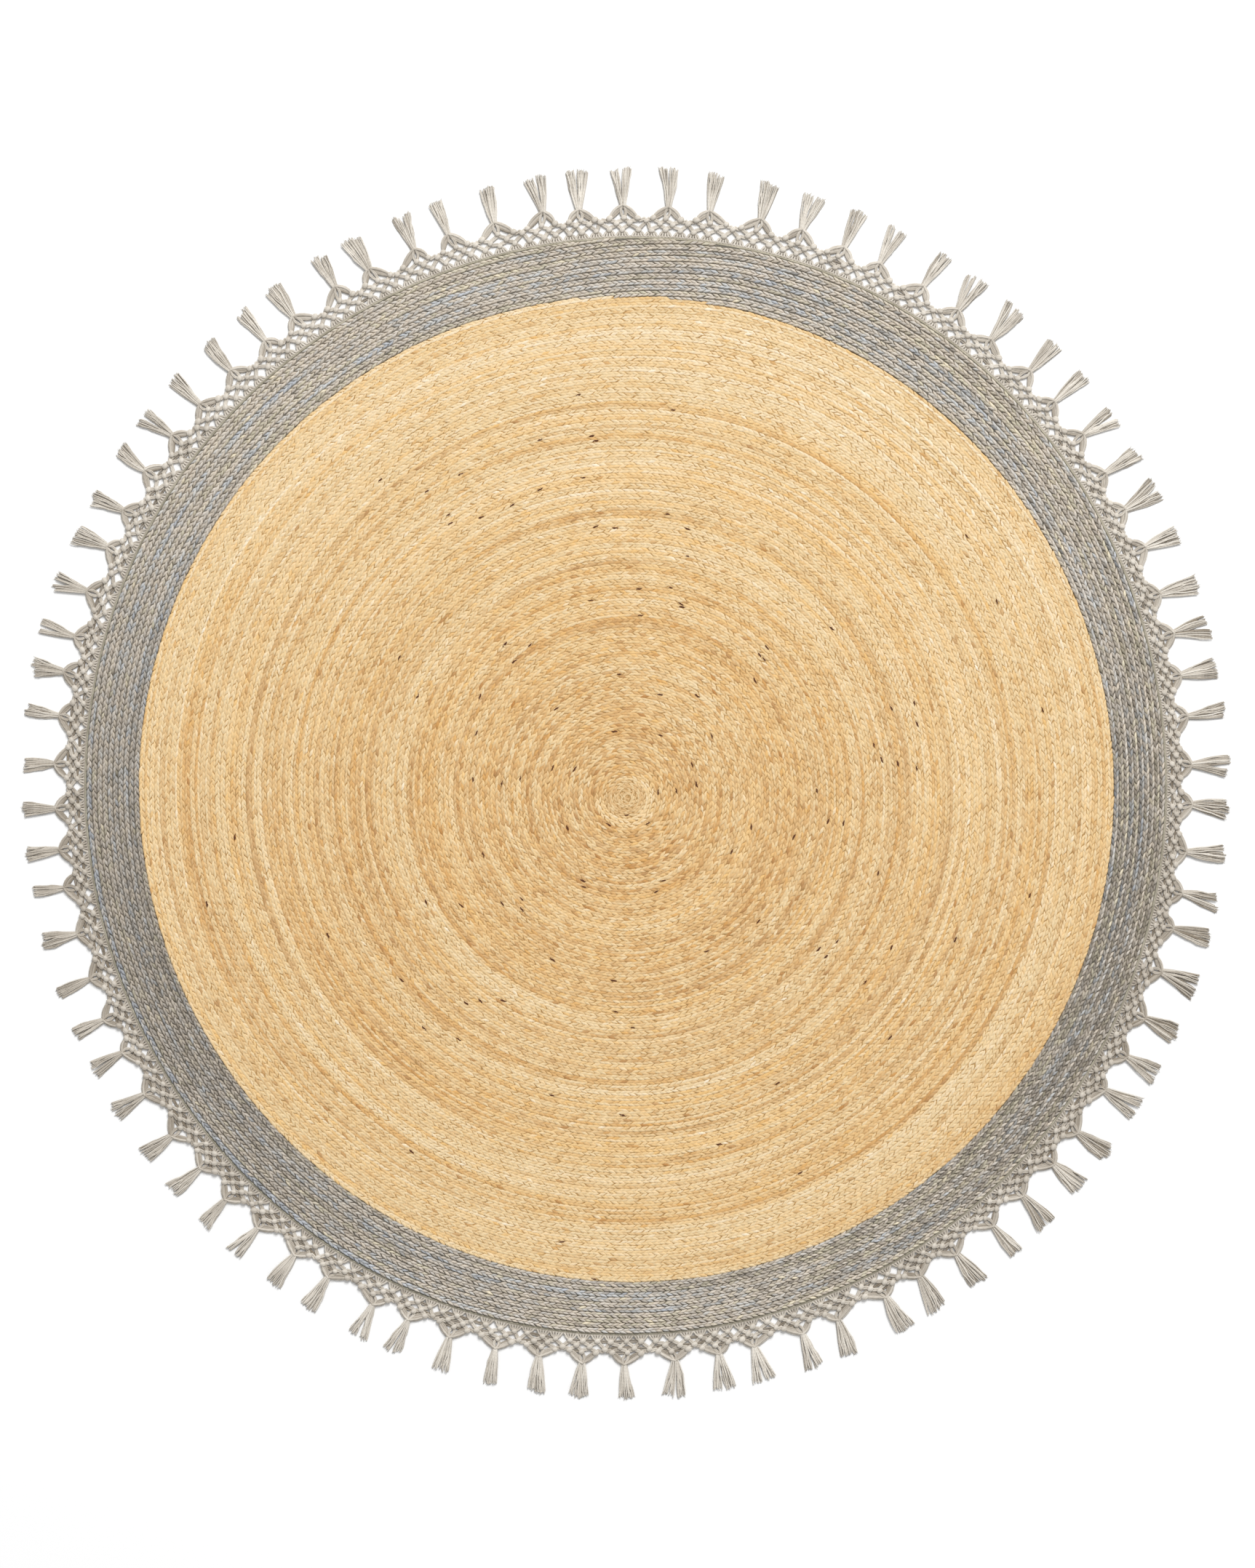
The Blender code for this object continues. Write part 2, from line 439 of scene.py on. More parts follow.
# %% [markdown]
# ## Natural jute
#
# The undyed braid runs from orange brown to pale straw. Every plait holds a
# tone from 0 to 1, which a ramp turns into a colour, and a hue that makes it
# more orange. A few plaits hold a piece of dark bark, which is drawn as a
# small patch with ragged edges.

# %% Material: natural jute
BARK_EDGE = 0.22
natural_look, tree, shader = new_look("natural_jute_plaits", 0.78)
colour = ramp(tree, held(tree, "tone"), (
    (0.00, tint(188, 146, 98)),
    (0.25, tint(218, 183, 133)),
    (0.50, tint(232, 207, 163)),
    (0.75, tint(239, 218, 182)),
    (1.00, tint(247, 234, 210)),
))
colour = blend(tree, "MULTIPLY", held(tree, "hue"), colour, (1.0, 0.84, 0.59, 1))
patch = (noise(tree, 420.0, 1.0) * held(tree, "rise") > BARK_EDGE) * held(tree, "bark")
colour = blend(tree, "MIX", patch, colour, tint(92, 56, 34))
# The last number is the share of painted shade on the plaits' low rims.
plait_surface(tree, shader, colour, 0.35)

# %% [markdown]
# ## Grey jute
#
# The border's braid is dyed, and the dye takes unevenly: whole stretches are
# bluer, browner or more olive. Each plait holds a hue that picks one of these
# greys, and a tone that makes it lighter or darker.

# %% Material: grey jute
grey_look, tree, shader = new_look("grey_jute_plaits", 0.80)
hues = ramp(tree, held(tree, "hue"), (
    (0.00, tint(194, 198, 204)),
    (0.14, tint(203, 204, 203)),
    (0.34, tint(212, 205, 195)),
    (0.62, tint(214, 203, 188)),
    (0.86, tint(210, 203, 182)),
    (1.00, tint(236, 225, 200)),
))
light = ramp(tree, held(tree, "tone"), ((0.0, (0.38, 0.37, 0.36, 1)), (1.0, WHITE)))
# The last number is the share of painted shade on the plaits' low rims.
plait_surface(tree, shader, blend(tree, "MULTIPLY", 1.0, hues, light), 0.85)

# %% [markdown]
# ## Small shapes set on points
#
# Thousands of plaits, hundreds of knots and the tape's ribs are all the same
# job: one small shape, set on many points, turned to suit each place. One
# tree of Geometry Nodes does this. The points hold the direction and the
# size, and the tree adds a little chance with a fixed seed.


# %% Tree: shapes on points
def geometry_group(name, inputs):
    """A tree that changes geometry, with more named inputs."""
    return new_group("GeometryNodeTree", name, {"Geometry": "Geometry", **inputs}, {"Geometry": "Geometry"})


def finish_group(tree, given, wanted, geometry):
    """Realize what was made, give it its finish and smooth shading."""
    smooth = add(tree, "GeometryNodeSetShadeSmooth", {"Geometry": geometry})
    plain = add(tree, "GeometryNodeRealizeInstances", {"Geometry": smooth.outputs[0]})
    done = add(tree, "GeometryNodeSetMaterial", {"Geometry": plain.outputs[0], "Material": given["Finish"]})
    put(done.outputs[0], wanted[0])
    print("tree", tree.name, "has", len(tree.nodes), "nodes")


def kept(tree, name):
    """The number that the points hold under a name."""
    made = add(tree, "GeometryNodeInputNamedAttribute", {"Name": name}, data_type="FLOAT")
    return Number(made.outputs["Attribute"])


def in_use(sockets, name):
    """The socket of a name that is on, where a node has one for each kind of value."""
    return next(s for s in sockets if s.name == name and s.enabled)


def chance(tree, seed):
    """A random number from -1 to 1 for each point."""
    node = add(tree, "FunctionNodeRandomValue", data_type="FLOAT")
    for key, value in (("Min", -1.0), ("Max", 1.0), ("Seed", seed)):
        put(value, in_use(node.inputs, key))
    return Number(in_use(node.outputs, "Value"))


shapes_on_points, given, wanted = geometry_group("shapes_on_points", {
    "Shape": "Object", "Length": "Float", "Width": "Float", "Height": "Float",
    "Turn Stray": "Float", "Size Stray": "Float", "Seed": "Int", "Finish": "Material"})
tree = shapes_on_points
shape = add(tree, "GeometryNodeObjectInfo", {"Object": given["Shape"]})
turned = kept(tree, "turn") + chance(tree, given["Seed"]) * given["Turn Stray"]
swell = chance(tree, Number(given["Seed"]) + 1).math("MULTIPLY_ADD", given["Size Stray"], 1.0)
swell = swell * kept(tree, "size")
spin = add(tree, "FunctionNodeEulerToRotation", {0: vector(tree, 0, 0, turned)})
size = add(tree, "ShaderNodeVectorMath", {
    0: vector(tree, given["Length"], given["Width"], given["Height"]), "Scale": swell}, operation="SCALE")
placed = add(tree, "GeometryNodeInstanceOnPoints", {
    "Points": given["Geometry"], "Instance": shape.outputs["Geometry"],
    "Rotation": spin.outputs[0], "Scale": size.outputs[0]})
finish_group(tree, given, wanted, placed.outputs[0])


# %% Helpers that hold points and run a tree
def hold(mesh, name, values, kind="FLOAT", field="value"):
    """Let the points of a mesh hold values under a name."""
    mesh.attributes.new(name, kind, "POINT").data.foreach_set(field, np.asarray(values, np.float32).ravel())


def new_mesh(name, points, lines=(), faces=(), **values):
    """A mesh of points, lines or faces, with named values at its points."""
    mesh = bpy.data.meshes.new(name)
    mesh.from_pydata(points, lines, faces)
    for key, numbers in values.items():
        hold(mesh, key, numbers)
    return mesh


def new_object(name, mesh):
    """An object in the scene. It may be a piece, or only lend its shape to a tree."""
    made = bpy.data.objects.new(name, mesh)
    scene.collection.objects.link(made)
    return made


def grow(name, guide, tree, settings):
    """Run a tree on a guide, keep the result as a plain mesh, and slide it into place."""
    piece = new_object(name, guide)
    modifier = piece.modifiers.new(tree.name, "NODES")
    modifier.node_group = tree
    sockets = {s.name: s.identifier for s in tree.interface.items_tree if s.in_out == "INPUT"}
    for label, value in settings.items():
        modifier[sockets[label]] = value
    grown = bpy.data.meshes.new_from_object(piece.evaluated_get(bpy.context.evaluated_depsgraph_get()))
    piece.modifiers.clear()
    piece.data = grown
    grown.name = name
    grown.transform(Matrix.Translation((*SLIDE, 0)))
    triangles = sum(len(face.vertices) - 2 for face in grown.polygons)
    print(name, triangles, "triangles, highest", round(max(c.co.z for c in grown.vertices) * 1000, 2), "mm")
    return piece


def set_shapes(name, guide, shape, sizes, strays, seed, look):
    """A piece of one shape on each point of a guide, with strays in degrees and in size."""
    return grow(name, guide, shapes_on_points, {
        "Shape": shape, "Length": sizes[0], "Width": sizes[1], "Height": sizes[2],
        "Turn Stray": math.radians(strays[0]), "Size Stray": strays[1], "Seed": seed, "Finish": look})


# %% [markdown]
# ## The plait
#
# Seen from above, a flat braid is a few columns of plaits side by side. Each
# plait is the short stretch where one strand lies on top and crosses its
# column at a slant, one column leaning one way and the next the other. It
# could be a whole strand, woven over and under, but 105 metres of braid would
# be far too heavy. A small pillow is enough: full along the middle, low all
# round its rim, and open below, where it is sunk in the base sheet.

# %% Sizes of the plaits
ROUND_WIDTH = FIELD_RADIUS / FIELD_ROUNDS
PLAIT_PITCH = 0.0069
PLAIT_LENGTH = 0.0075
PLAIT_WIDTH = 0.0036
STRAND_SLANT = math.radians(38)
FIBRE_UNIT = 0.005

# %% Mesh: one plait
CORNER = 0.42
TIP = 0.53
RIM = ((-TIP, 0.0), (-CORNER, -0.5), (CORNER, -0.5), (TIP, 0.0), (CORNER, 0.5), (-CORNER, 0.5))
RIDGE_FACES = ((0, 1, 6), (0, 6, 5), (1, 2, 7, 6), (6, 7, 4, 5), (2, 3, 7), (7, 3, 4))
FULL_FACES = (
    (0, 1, 6), (0, 6, 8), (0, 8, 5), (1, 2, 7, 6), (6, 7, 9, 8), (8, 9, 4, 5),
    (2, 3, 7), (7, 3, 9), (9, 3, 4))


def plait_mesh(name, crown, hand, length, width):
    """A pillow with two or four points on its crown, its ends slanted to one hand."""
    slant = hand * width / math.tan(STRAND_SLANT) / length
    rows = [(x, y, 0.0) for x, y in RIM] + [(x, y, 1.0) for x, y in crown]
    points = [(x + slant * y, y, z) for x, y, z in rows]
    faces = RIDGE_FACES if len(crown) == 2 else FULL_FACES
    mesh = new_mesh(name, points, faces=faces, rise=[z for x, y, z in rows])
    sheet = mesh.uv_layers.new(name="plait")
    run, over = math.cos(STRAND_SLANT) / FIBRE_UNIT, hand * math.sin(STRAND_SLANT) / FIBRE_UNIT
    for loop in mesh.loops:
        x, y, z = points[loop.vertex_index]
        x, y = x * length, y * width
        sheet.data[loop.index].uv = (x * run + y * over, y * run - x * over)
    return mesh


def plait_shapes(name, crown):
    """The two mirror images of a plait, by the hand that they lean to."""
    size = (PLAIT_LENGTH, PLAIT_WIDTH)
    return {hand: new_object(name, plait_mesh(name, crown, hand, *size)) for hand in (-1, 1)}


FIELD_CROWN = ((-0.24, 0.0), (0.24, 0.0))
BORDER_CROWN = ((-0.26, -0.22), (0.26, -0.22), (-0.26, 0.22), (0.26, 0.22))
field_plait = plait_shapes("field_plait", FIELD_CROWN)
border_plait = plait_shapes("border_plait", BORDER_CROWN)
print("plait faces", len(field_plait[1].data.polygons), len(border_plait[1].data.polygons))

# %% [markdown]
# ## One spiral from the middle to the tape
#
# The braid is one spiral. It runs clockwise, its first turns are tighter,
# and the last natural round tapers off where the grey braid is sewn on, near
# the top of the rug. A place in the rug is given as turns from the middle,
# so the spiral is simply turns that grow with the angle. Only the outer
# seven natural rounds give way to the joint, so that no round has a kink.

# %% The spiral's turns
START_ANGLE = math.radians(77.4)
TIGHT_TURNS = 4
TIGHT_LOSS = 1
STEADY_TURNS = 41
SEAM_TURNS = FIELD_ROUNDS + TIGHT_LOSS - 0.5
TAPER = 0.06


def ring_count(turns):
    """Full-sized rounds from the middle, the tight first turns counted less."""
    tight = 0.5 * turns + turns ** 2 / (4 * TIGHT_TURNS)
    return np.where(turns < TIGHT_TURNS, tight, turns - TIGHT_LOSS)


def round_size(turns):
    """Size of a round at some turns from the middle, 1 when full-sized."""
    return np.clip(0.5 + turns / (2 * TIGHT_TURNS), 0.5, 1)


def seam_turns(angle):
    """Turns at the joint: one more each turn, less again where the round tapers."""
    way = ((START_ANGLE - angle) / math.tau) % 1
    return SEAM_TURNS + np.minimum(way, (1 - way) * (1 - TAPER) / TAPER)


def braid_point(turns, angle):
    """Point of the rug at some turns from the middle."""
    seam = seam_turns(angle)
    steady = STEADY_TURNS - TIGHT_LOSS
    eased = steady + (FIELD_ROUNDS - steady) * (turns - STEADY_TURNS) / (seam - STEADY_TURNS)
    rounds = np.where(turns < STEADY_TURNS, ring_count(turns), eased)
    inside = field_point(angle, rounds / FIELD_ROUNDS)
    outside = border_point(angle, (turns - seam) / BORDER_ROUNDS)
    return np.where((turns < seam)[..., None], inside, outside)


# %% [markdown]
# ## Four columns of plaits
#
# Each round shows four columns, three millimetres wide, that lean left, right,
# left and right. The columns lie in pairs a little closer together, so that
# the middle of a round and the seam beside it show as darker lines. In the
# grey braid the pairs are tighter still. A plait's number gives its column,
# and the number divided by four its place along the braid.

# %% Plaits along the spiral
# Columns as (place across the round, shift along the braid, hand).
COLUMNS = ((-0.372, 0.0, 1), (-0.128, 0.5, -1), (0.128, 0.27, 1), (0.372, 0.77, -1))
PAIR_MIDDLE = 0.25
FIELD_PULL = 0.06
BORDER_PULL = 0.19
OUTER_EDGE = 0.06
FIRST_TURN = 0.30
SIDE_STRAY = 0.018
RUN_STRAY = 0.12
PATH_STEPS = 500
AHEAD = 1e-3

line = np.arange(FIRST_TURN, SEAM_TURNS + BORDER_ROUNDS + 1.5, 1 / PATH_STEPS)
path = braid_point(line, START_ANGLE - math.tau * line)
pace = np.linalg.norm(np.diff(path, axis=0), axis=1) / round_size(line[1:])
length = np.concatenate([[0], np.cumsum(pace)])
number = np.arange(4 * int(length[-1] / PLAIT_PITCH - 1))
offset, phase, hand = (np.array(row)[number % 4] for row in zip(*COLUMNS))
step = number // 4 + phase + RUN_STRAY * scatter(number, 50)
turns = np.interp(step * PLAIT_PITCH, length, line)
angle = START_ANGLE - math.tau * turns
seam = seam_turns(angle)
in_border = turns + offset > seam
pair = np.where(offset < 0, -PAIR_MIDDLE, PAIR_MIDDLE)
pull = np.where(in_border, BORDER_PULL, FIELD_PULL)
aside = SIDE_STRAY * scatter(number, 51) * np.where(in_border, 0.5, 1.0)
own = turns + pair + (offset - pair) * (1 - pull) + aside
beside_tape = seam + BORDER_ROUNDS - OUTER_EDGE
grey = (own >= seam) & (own < beside_tape + OUTER_EDGE)
natural = own < seam
own = np.where(grey, np.minimum(own, beside_tape + aside), own)
ahead = braid_point(own, angle - AHEAD) - braid_point(own, angle + AHEAD)
turn = np.arctan2(ahead[:, 1], ahead[:, 0])
place = braid_point(own, angle)
print(len(number), "plaits on", round(float(length[-1]), 1), "m of braid")

# %% [markdown]
# ## Colours of the plaits
#
# Colour changes slowly along the braid, because one bundle of jute lasts for
# some metres. The two columns of a pair share much of it, so a blue or an
# olive stretch is about seven millimetres wide and up to some hands long. A
# little chance for each plait is added. Near the middle the jute is more
# orange with more bark in it and its streaks are weaker, and it grows paler
# outwards. Light falls unevenly round the rug, and this is painted into the
# tones: the rug is painted a little darker on two sides, the dyed border most
# of all, and on the right the columns of the border are painted to differ
# more, as lit and shaded columns.

# %% Changes along the braid
lanes = {"round": 0.0, "pair": pair * 124.0, "column": offset * 332.0}
radius = np.clip(np.linalg.norm(place - np.array(FIELD_MIDDLE), axis=1) / FIELD_RADIUS, 0, 1)


def drifts(rows):
    """Sum of slow changes, as (share, changes in a turn, what shares them, kind)."""
    return sum(share * drift(turns * pace + lanes[lane], kind) for share, pace, lane, kind in rows)


def few(kind, limit):
    """True for the few plaits whose chance is over a limit."""
    return scatter(number, kind) > limit


def about(mean, stray, kind):
    """A value for each plait, scattered round a mean."""
    return mean + stray * scatter(number, kind)


# %% Tones and hues of natural jute
# Painted light: waves round the rug that make the field darker on two sides.
FIELD_PAINTED_LIGHT = ((1, 0.017, 0.075), (2, -0.061, 0.018), (3, 0.004, 0.026))
FIELD_TONE = 0.42
PALER_OUTWARDS = 0.20
TONE_DRIFTS = ((0.05, 2.1, "round", 1), (0.13, 3.0, "pair", 2), (0.16, 8.0, "column", 3))
FIELD_WARMTH = 0.33
COOLER_OUTWARDS = 0.18
WARM_DRIFTS = ((0.28, 3.0, "pair", 16), (0.42, 6.0, "column", 17))
MIDDLE_STREAKS = 0.36
# Chance of each plait, and how much of it is lost where the streaks are full.
TONE_CHANCE, WARM_CHANCE = (0.26, 0.15), (0.32, 0.16)
DARK_PLAIT, PALE_PLAIT, ORANGE_PLAIT = -0.24, 0.24, 0.45
# The first turns and the pale ring after them, each as (mean, stray).
MIDDLE_TURNS, MIDDLE_TONE, MIDDLE_WARMTH = 2.75, (0.34, 0.14), (0.08, 0.08)
PALE_RING, RING_TONE = 3.4, (0.62, 0.16)

streaks = np.clip(MIDDLE_STREAKS + radius, 0, 1)
# Tone grows paler outwards, with painted light round the rug on top.
tone = FIELD_TONE + PALER_OUTWARDS * (radius - 0.5) + waves(FIELD_PAINTED_LIGHT, angle) * radius
tone += streaks * drifts(TONE_DRIFTS)
tone += (TONE_CHANCE[0] - TONE_CHANCE[1] * streaks) * scatter(number, 4)
tone += PALE_PLAIT * few(15, 0.95) + DARK_PLAIT * few(6, 0.88 + 0.06 * streaks)
warm = FIELD_WARMTH - COOLER_OUTWARDS * radius + streaks * drifts(WARM_DRIFTS)
warm += (WARM_CHANCE[0] - WARM_CHANCE[1] * streaks) * scatter(number, 18)
warm += ORANGE_PLAIT * few(24, 0.78 + 0.12 * streaks)
in_middle = turns < MIDDLE_TURNS
tone = np.where(in_middle, about(*MIDDLE_TONE, 5), tone)
warm = np.where(in_middle, about(*MIDDLE_WARMTH, 19), warm)
tone = np.where(np.abs(turns - PALE_RING) < 0.3, about(*RING_TONE, 5), tone)
bark = few(7, 0.987 + 0.0128 * radius).astype(float)

# %% Tones and hues of the dyed border
# Painted light: waves round the rug that make the border darker on two sides; the cotton takes a share of
# them.
PAINTED_LIGHT_ROUND = ((1, 0.016, 0.157), (2, -0.205, 0.053), (3, 0.003, 0.115))
DYE_TONE = 0.61
DYE_HUE, DYE_STRAY = 0.48, 0.24
GREY_STRAY = 0.24
STRAW_PLAIT, BLACK_PLAIT = 0.4, -0.30
LAST_BLUER, LAST_STRAY = 0.30, 0.16
DYE_DRIFTS = ((0.24, 13.0, "pair", 8), (0.14, 38.0, "column", 9))
GREY_DRIFTS = ((0.14, 5.0, "pair", 11), (0.13, 31.0, "column", 12))
LAST_COLUMNS = 0.6
# Painted light on the right: more contrast between the border's plaits, and a lit and a shaded column in
# each pair.
RIGHT_PAINTED_CONTRAST = 0.35
COLUMN_PAINTED_SHADE = 0.20

dye = about(DYE_HUE, DYE_STRAY, 10) + drifts(DYE_DRIFTS) + STRAW_PLAIT * few(21, 0.96)
contrast = about(0.0, GREY_STRAY, 13) + drifts(GREY_DRIFTS) + BLACK_PLAIT * few(20, 0.93)
# The border's tone, with painted light round the rug and more contrast painted on the right.
grey_tone = DYE_TONE + waves(PAINTED_LIGHT_ROUND, angle) + contrast * (1 + RIGHT_PAINTED_CONTRAST * np.cos(angle + 0.3))
last_round = own > seam + BORDER_ROUNDS - LAST_COLUMNS
dye -= np.where(last_round, LAST_BLUER * np.maximum(0, drift(turns * 7.0, 23)), 0.0)
grey_tone += np.where(last_round, about(0.0, LAST_STRAY, 22), 0.0)
# On the right each pair gets a lit, paler column and a shaded, darker one: painted light.
grey_tone += COLUMN_PAINTED_SHADE * np.sign(offset - pair) * np.clip(np.cos(angle + 0.2), 0, 1)
hue = np.where(natural, warm, dye)
print("natural", int(natural.sum()), "grey", int(grey.sum()), "bark", int((bark * natural).sum()))

# %% [markdown]
# ## Natural field
#
# The plaits stand on a base sheet, which is the body of the braid and closes
# the rug from below. The columns that lean left and those that lean right are
# two pieces, because their pillows are mirror images.

# %% Plaits of the field
FIELD_BASE = 0.0048
FIELD_HEIGHT = 0.0016
PLAIT_SUNK = 0.0002


def plaits(name, chosen, tones, shapes, base, height, look):
    """The chosen plaits as two pieces, the left-hand ones and the right-hand ones."""
    pieces = []
    for side, leans in (("left", 1), ("right", -1)):
        full_name, these = f"{side}_{name}", chosen & (hand == leans)
        guide = new_mesh(
            full_name, lifted(place[these], base - PLAIT_SUNK),
            turn=turn[these], size=round_size(turns[these]), seed=scatter(number[these], 14),
            tone=np.clip(tones[these], 0, 1), hue=np.clip(hue[these], 0, 1), bark=bark[these],
        )
        sizes = (PLAIT_LENGTH, PLAIT_WIDTH, height)
        pieces.append(set_shapes(full_name, guide, shapes[leans], sizes, (8, 0.12), 5, look))
    return pieces


left_plaits, right_plaits = plaits(
    "jute_plaits", natural, tone, field_plait, FIELD_BASE, FIELD_HEIGHT, natural_look)

# %% [markdown]
# ## Base sheets
#
# Below the plaits lies the rest of the braid. From above it only shows in
# the gaps, where its colour is painted shade. From below it is what one sees,
# so its material draws the braid's rounds and leaning plaits there, with
# painted shade in the grooves between them.

# %% Group: the braid's pattern from below
GROOVE_POWER = 5.0
SLANT_BELOW = 0.55


def braid_below_group():
    """Rounds and leaning plaits on a flat sheet, from the place alone."""
    tree, given, wanted = new_group(
        "ShaderNodeTree", "braid_from_below", {"Place": "Vector"}, {"Groove": "Float", "Plait": "Float"})
    x, y, _ = parts(given["Place"])
    way = y.math("ARCTAN2", x) / math.tau
    rounds = (x * x + y * y).math("SQRT") / ROUND_WIDTH - way
    columns = rounds * 4.0
    whole = columns.math("FLOOR")
    off = columns.math("FRACT") - 0.5
    odd = (whole * 0.5).math("FRACT") > 0.25
    count = ((rounds.math("FLOOR") + 0.5) * (math.tau * ROUND_WIDTH / PLAIT_PITCH)).math("ROUND")
    slant = off * odd.math("MULTIPLY_ADD", -2 * SLANT_BELOW, SLANT_BELOW)
    step = way * count + odd.math("MULTIPLY_ADD", 0.5, slant)
    between = (step.math("FRACT") - 0.5).math("ABSOLUTE") * 2.0
    edge = off.math("ABSOLUTE") * 2.0
    chosen = add(tree, "ShaderNodeTexWhiteNoise", {"Vector": vector(tree, step.math("FLOOR"), whole, 0)})
    put((between ** GROOVE_POWER).math("MAXIMUM", edge ** GROOVE_POWER), wanted["Groove"])
    put(chosen.outputs["Value"], wanted["Plait"])
    return tree


braid_below = braid_below_group()


def base_look(name, dark, pale, shade_colour):
    """Painted shade in the gaps above, a braid with painted shade in its grooves below."""
    look, tree, shader = new_look(name, 0.9)
    drawn = add(tree, "ShaderNodeGroup", {0: object_place(tree)}, node_tree=braid_below).outputs
    colour = ramp(tree, drawn["Plait"], ((0.0, dark), (1.0, pale)))
    # Painted shade in the grooves between rounds and plaits, on the underside.
    colour = blend(tree, "MIX", drawn["Groove"], colour, shade_colour)
    # On the upper side, seen only in the gaps between plaits, the colour is painted shade.
    up = parts(add(tree, "ShaderNodeNewGeometry").outputs["Normal"])[2]
    gap_shade = blend(tree, "MIX", noise(tree, 900.0, 3.0), shade_colour, dark)
    colour = blend(tree, "MIX", up > 0.5, colour, gap_shade)
    dress(tree, shader, colour, 1.0 - Number(drawn["Groove"]), 0.6, 0.0012)
    return look


# %% Meshes of the base sheets
BORDER_BASE = 0.0042
BORDER_HEIGHT = 0.0026
BASE_CORNERS = 328
BEVEL = 0.0008
# Rings as (share of the way from the inner line to the outer one, height).
FIELD_RINGS = (
    *[(share, FIELD_BASE) for share in (0.03, 0.25, 0.5, 0.75, 0.998)],
    (1.0, FIELD_BASE - BEVEL), (1.0, 0.0))
BORDER_RINGS = (
    *[(share, BORDER_BASE) for share in (0.01, 0.5, 0.99)],
    (1.0, BORDER_BASE - BEVEL), (1.0, 0.0), (0.0, 0.0), (0.0, BORDER_BASE - BEVEL))


def ring_sheet(name, line_at, rings, closed, look):
    """A piece through rings, which comes back to the first one or has two caps."""
    spots = math.tau * np.arange(BASE_CORNERS) / BASE_CORNERS
    points = np.concatenate([lifted(line_at(spots, share), height) for share, height in rings])
    starts = [row * BASE_CORNERS for row in range(len(rings))]
    faces = []
    for low, high in zip(starts, starts[1:] + (starts[:1] if closed else [])):
        for spot in range(BASE_CORNERS):
            near = (spot + 1) % BASE_CORNERS
            faces.append((low + spot, high + spot, high + near, low + near))
    if not closed:
        faces += [tuple(range(BASE_CORNERS)), tuple(reversed(range(starts[-1], len(points))))]
    mesh = new_mesh(name, points, faces=faces)
    mesh.transform(Matrix.Translation((*SLIDE, 0)))
    mesh.materials.append(look)
    print(name, len(faces), "faces")
    return new_object(name, mesh)


# The third colour of each base is its painted shade.
field_base = ring_sheet("jute_base", field_point, FIELD_RINGS, False, base_look(
    "jute_base", tint(206, 168, 112), tint(238, 206, 150), tint(150, 112, 66)))
border_base = ring_sheet("grey_base", border_point, BORDER_RINGS, True, base_look(
    "grey_base", tint(140, 136, 128), tint(190, 186, 176), tint(84, 78, 68)))

# %% [markdown]
# ## Grey border
#
# The dyed braid is a little fuller than the natural one and its seams are
# deeper, so its plaits have more corners and stand higher.

# %% Plaits of the border
left_greys, right_greys = plaits(
    "grey_plaits", grey, grey_tone, border_plait, BORDER_BASE, BORDER_HEIGHT, grey_look)

# %% [markdown]
# ## Cotton
#
# The fringe is undyed cotton cord, a warm light grey. Its surface is a soft
# twist of plies. A cord holds how far along it a point is, and where on its
# round section, and from these two a group draws the turns of the twist, whose
# grooves are painted darker as shade.


# %% Group: twist of a cord
def twist_group():
    """High and low turns of the plies round a cord, which set its relief and its painted shade."""
    inputs = {"Along": "Float", "Rim": "Vector", "Turns": "Float", "Plies": "Float"}
    tree, given, wanted = new_group("ShaderNodeTree", "cord_twist", inputs, {"Height": "Float"})
    x, y, _ = parts(given["Rim"])
    around = y.math("ARCTAN2", x) / math.tau
    step = Number(given["Along"]) * given["Turns"] + around * given["Plies"]
    put((step * math.pi).math("SINE").math("ABSOLUTE"), wanted["Height"])
    return tree


cord_twist = twist_group()

# %% Material: cotton
SHADE_TONES = ((0.0, (0.42, 0.38, 0.33, 1)), (1.0, WHITE))
# Painted shade in the grooves of the twist.
TWIST_SHADE_TONES = ((0.0, (0.62, 0.58, 0.52, 1)), (0.45, WHITE))
FUZZ_TONES = ((0.3, (0.80, 0.79, 0.76, 1)), (0.6, WHITE))


def cotton_look(name, turns_per_metre, plies, depth, twist_shade, dark, pale):
    """Cotton of cords or of thin plies, between a dark and a pale tone."""
    look, tree, shader = new_look(name, 0.86)
    shader.inputs["Sheen Weight"].default_value = 0.15
    shader.inputs["Sheen Roughness"].default_value = 0.5
    rim = add(tree, "ShaderNodeAttribute", attribute_name="rim").outputs["Vector"]
    twist = add(tree, "ShaderNodeGroup", {
        "Along": held(tree, "along"), "Rim": rim, "Turns": turns_per_metre, "Plies": plies,
    }, node_tree=cord_twist).outputs[0]
    fuzz = noise(tree, 2200.0)
    colour = ramp(tree, noise(tree, 45.0), ((0.3, dark), (0.7, pale)))
    colour = blend(tree, "MULTIPLY", 1.0, colour, ramp(tree, held(tree, "tone"), SHADE_TONES))
    # The twist's grooves are painted darker, as shade.
    colour = blend(tree, "MULTIPLY", twist_shade, colour, ramp(tree, twist, TWIST_SHADE_TONES))
    colour = blend(tree, "MULTIPLY", 0.35, colour, ramp(tree, fuzz, FUZZ_TONES))
    dress(tree, shader, colour, fuzz * 0.6 + twist, 0.6, depth)
    return look


cord_look, ply_look, heading_look = (cotton_look(*row) for row in (
    ("cotton_cord", 160.0, 3.0, 0.0003, 0.4, tint(200, 192, 180), tint(222, 215, 204)),
    ("cotton_plies", 260.0, 2.0, 0.0002, 0.3, tint(214, 207, 196), tint(236, 230, 220)),
    ("heading_cotton", 240.0, 2.0, 0.0003, 0.5, tint(186, 178, 165), tint(208, 200, 188)),
))

# %% [markdown]
# ## Cords along their paths
#
# A cord is a round section drawn along a line. The lines are laid out point
# by point below, each point with its own thickness. The tree turns them into
# curves, keeps the length along each one and the place on its section for the
# twist, and wraps the section round them.


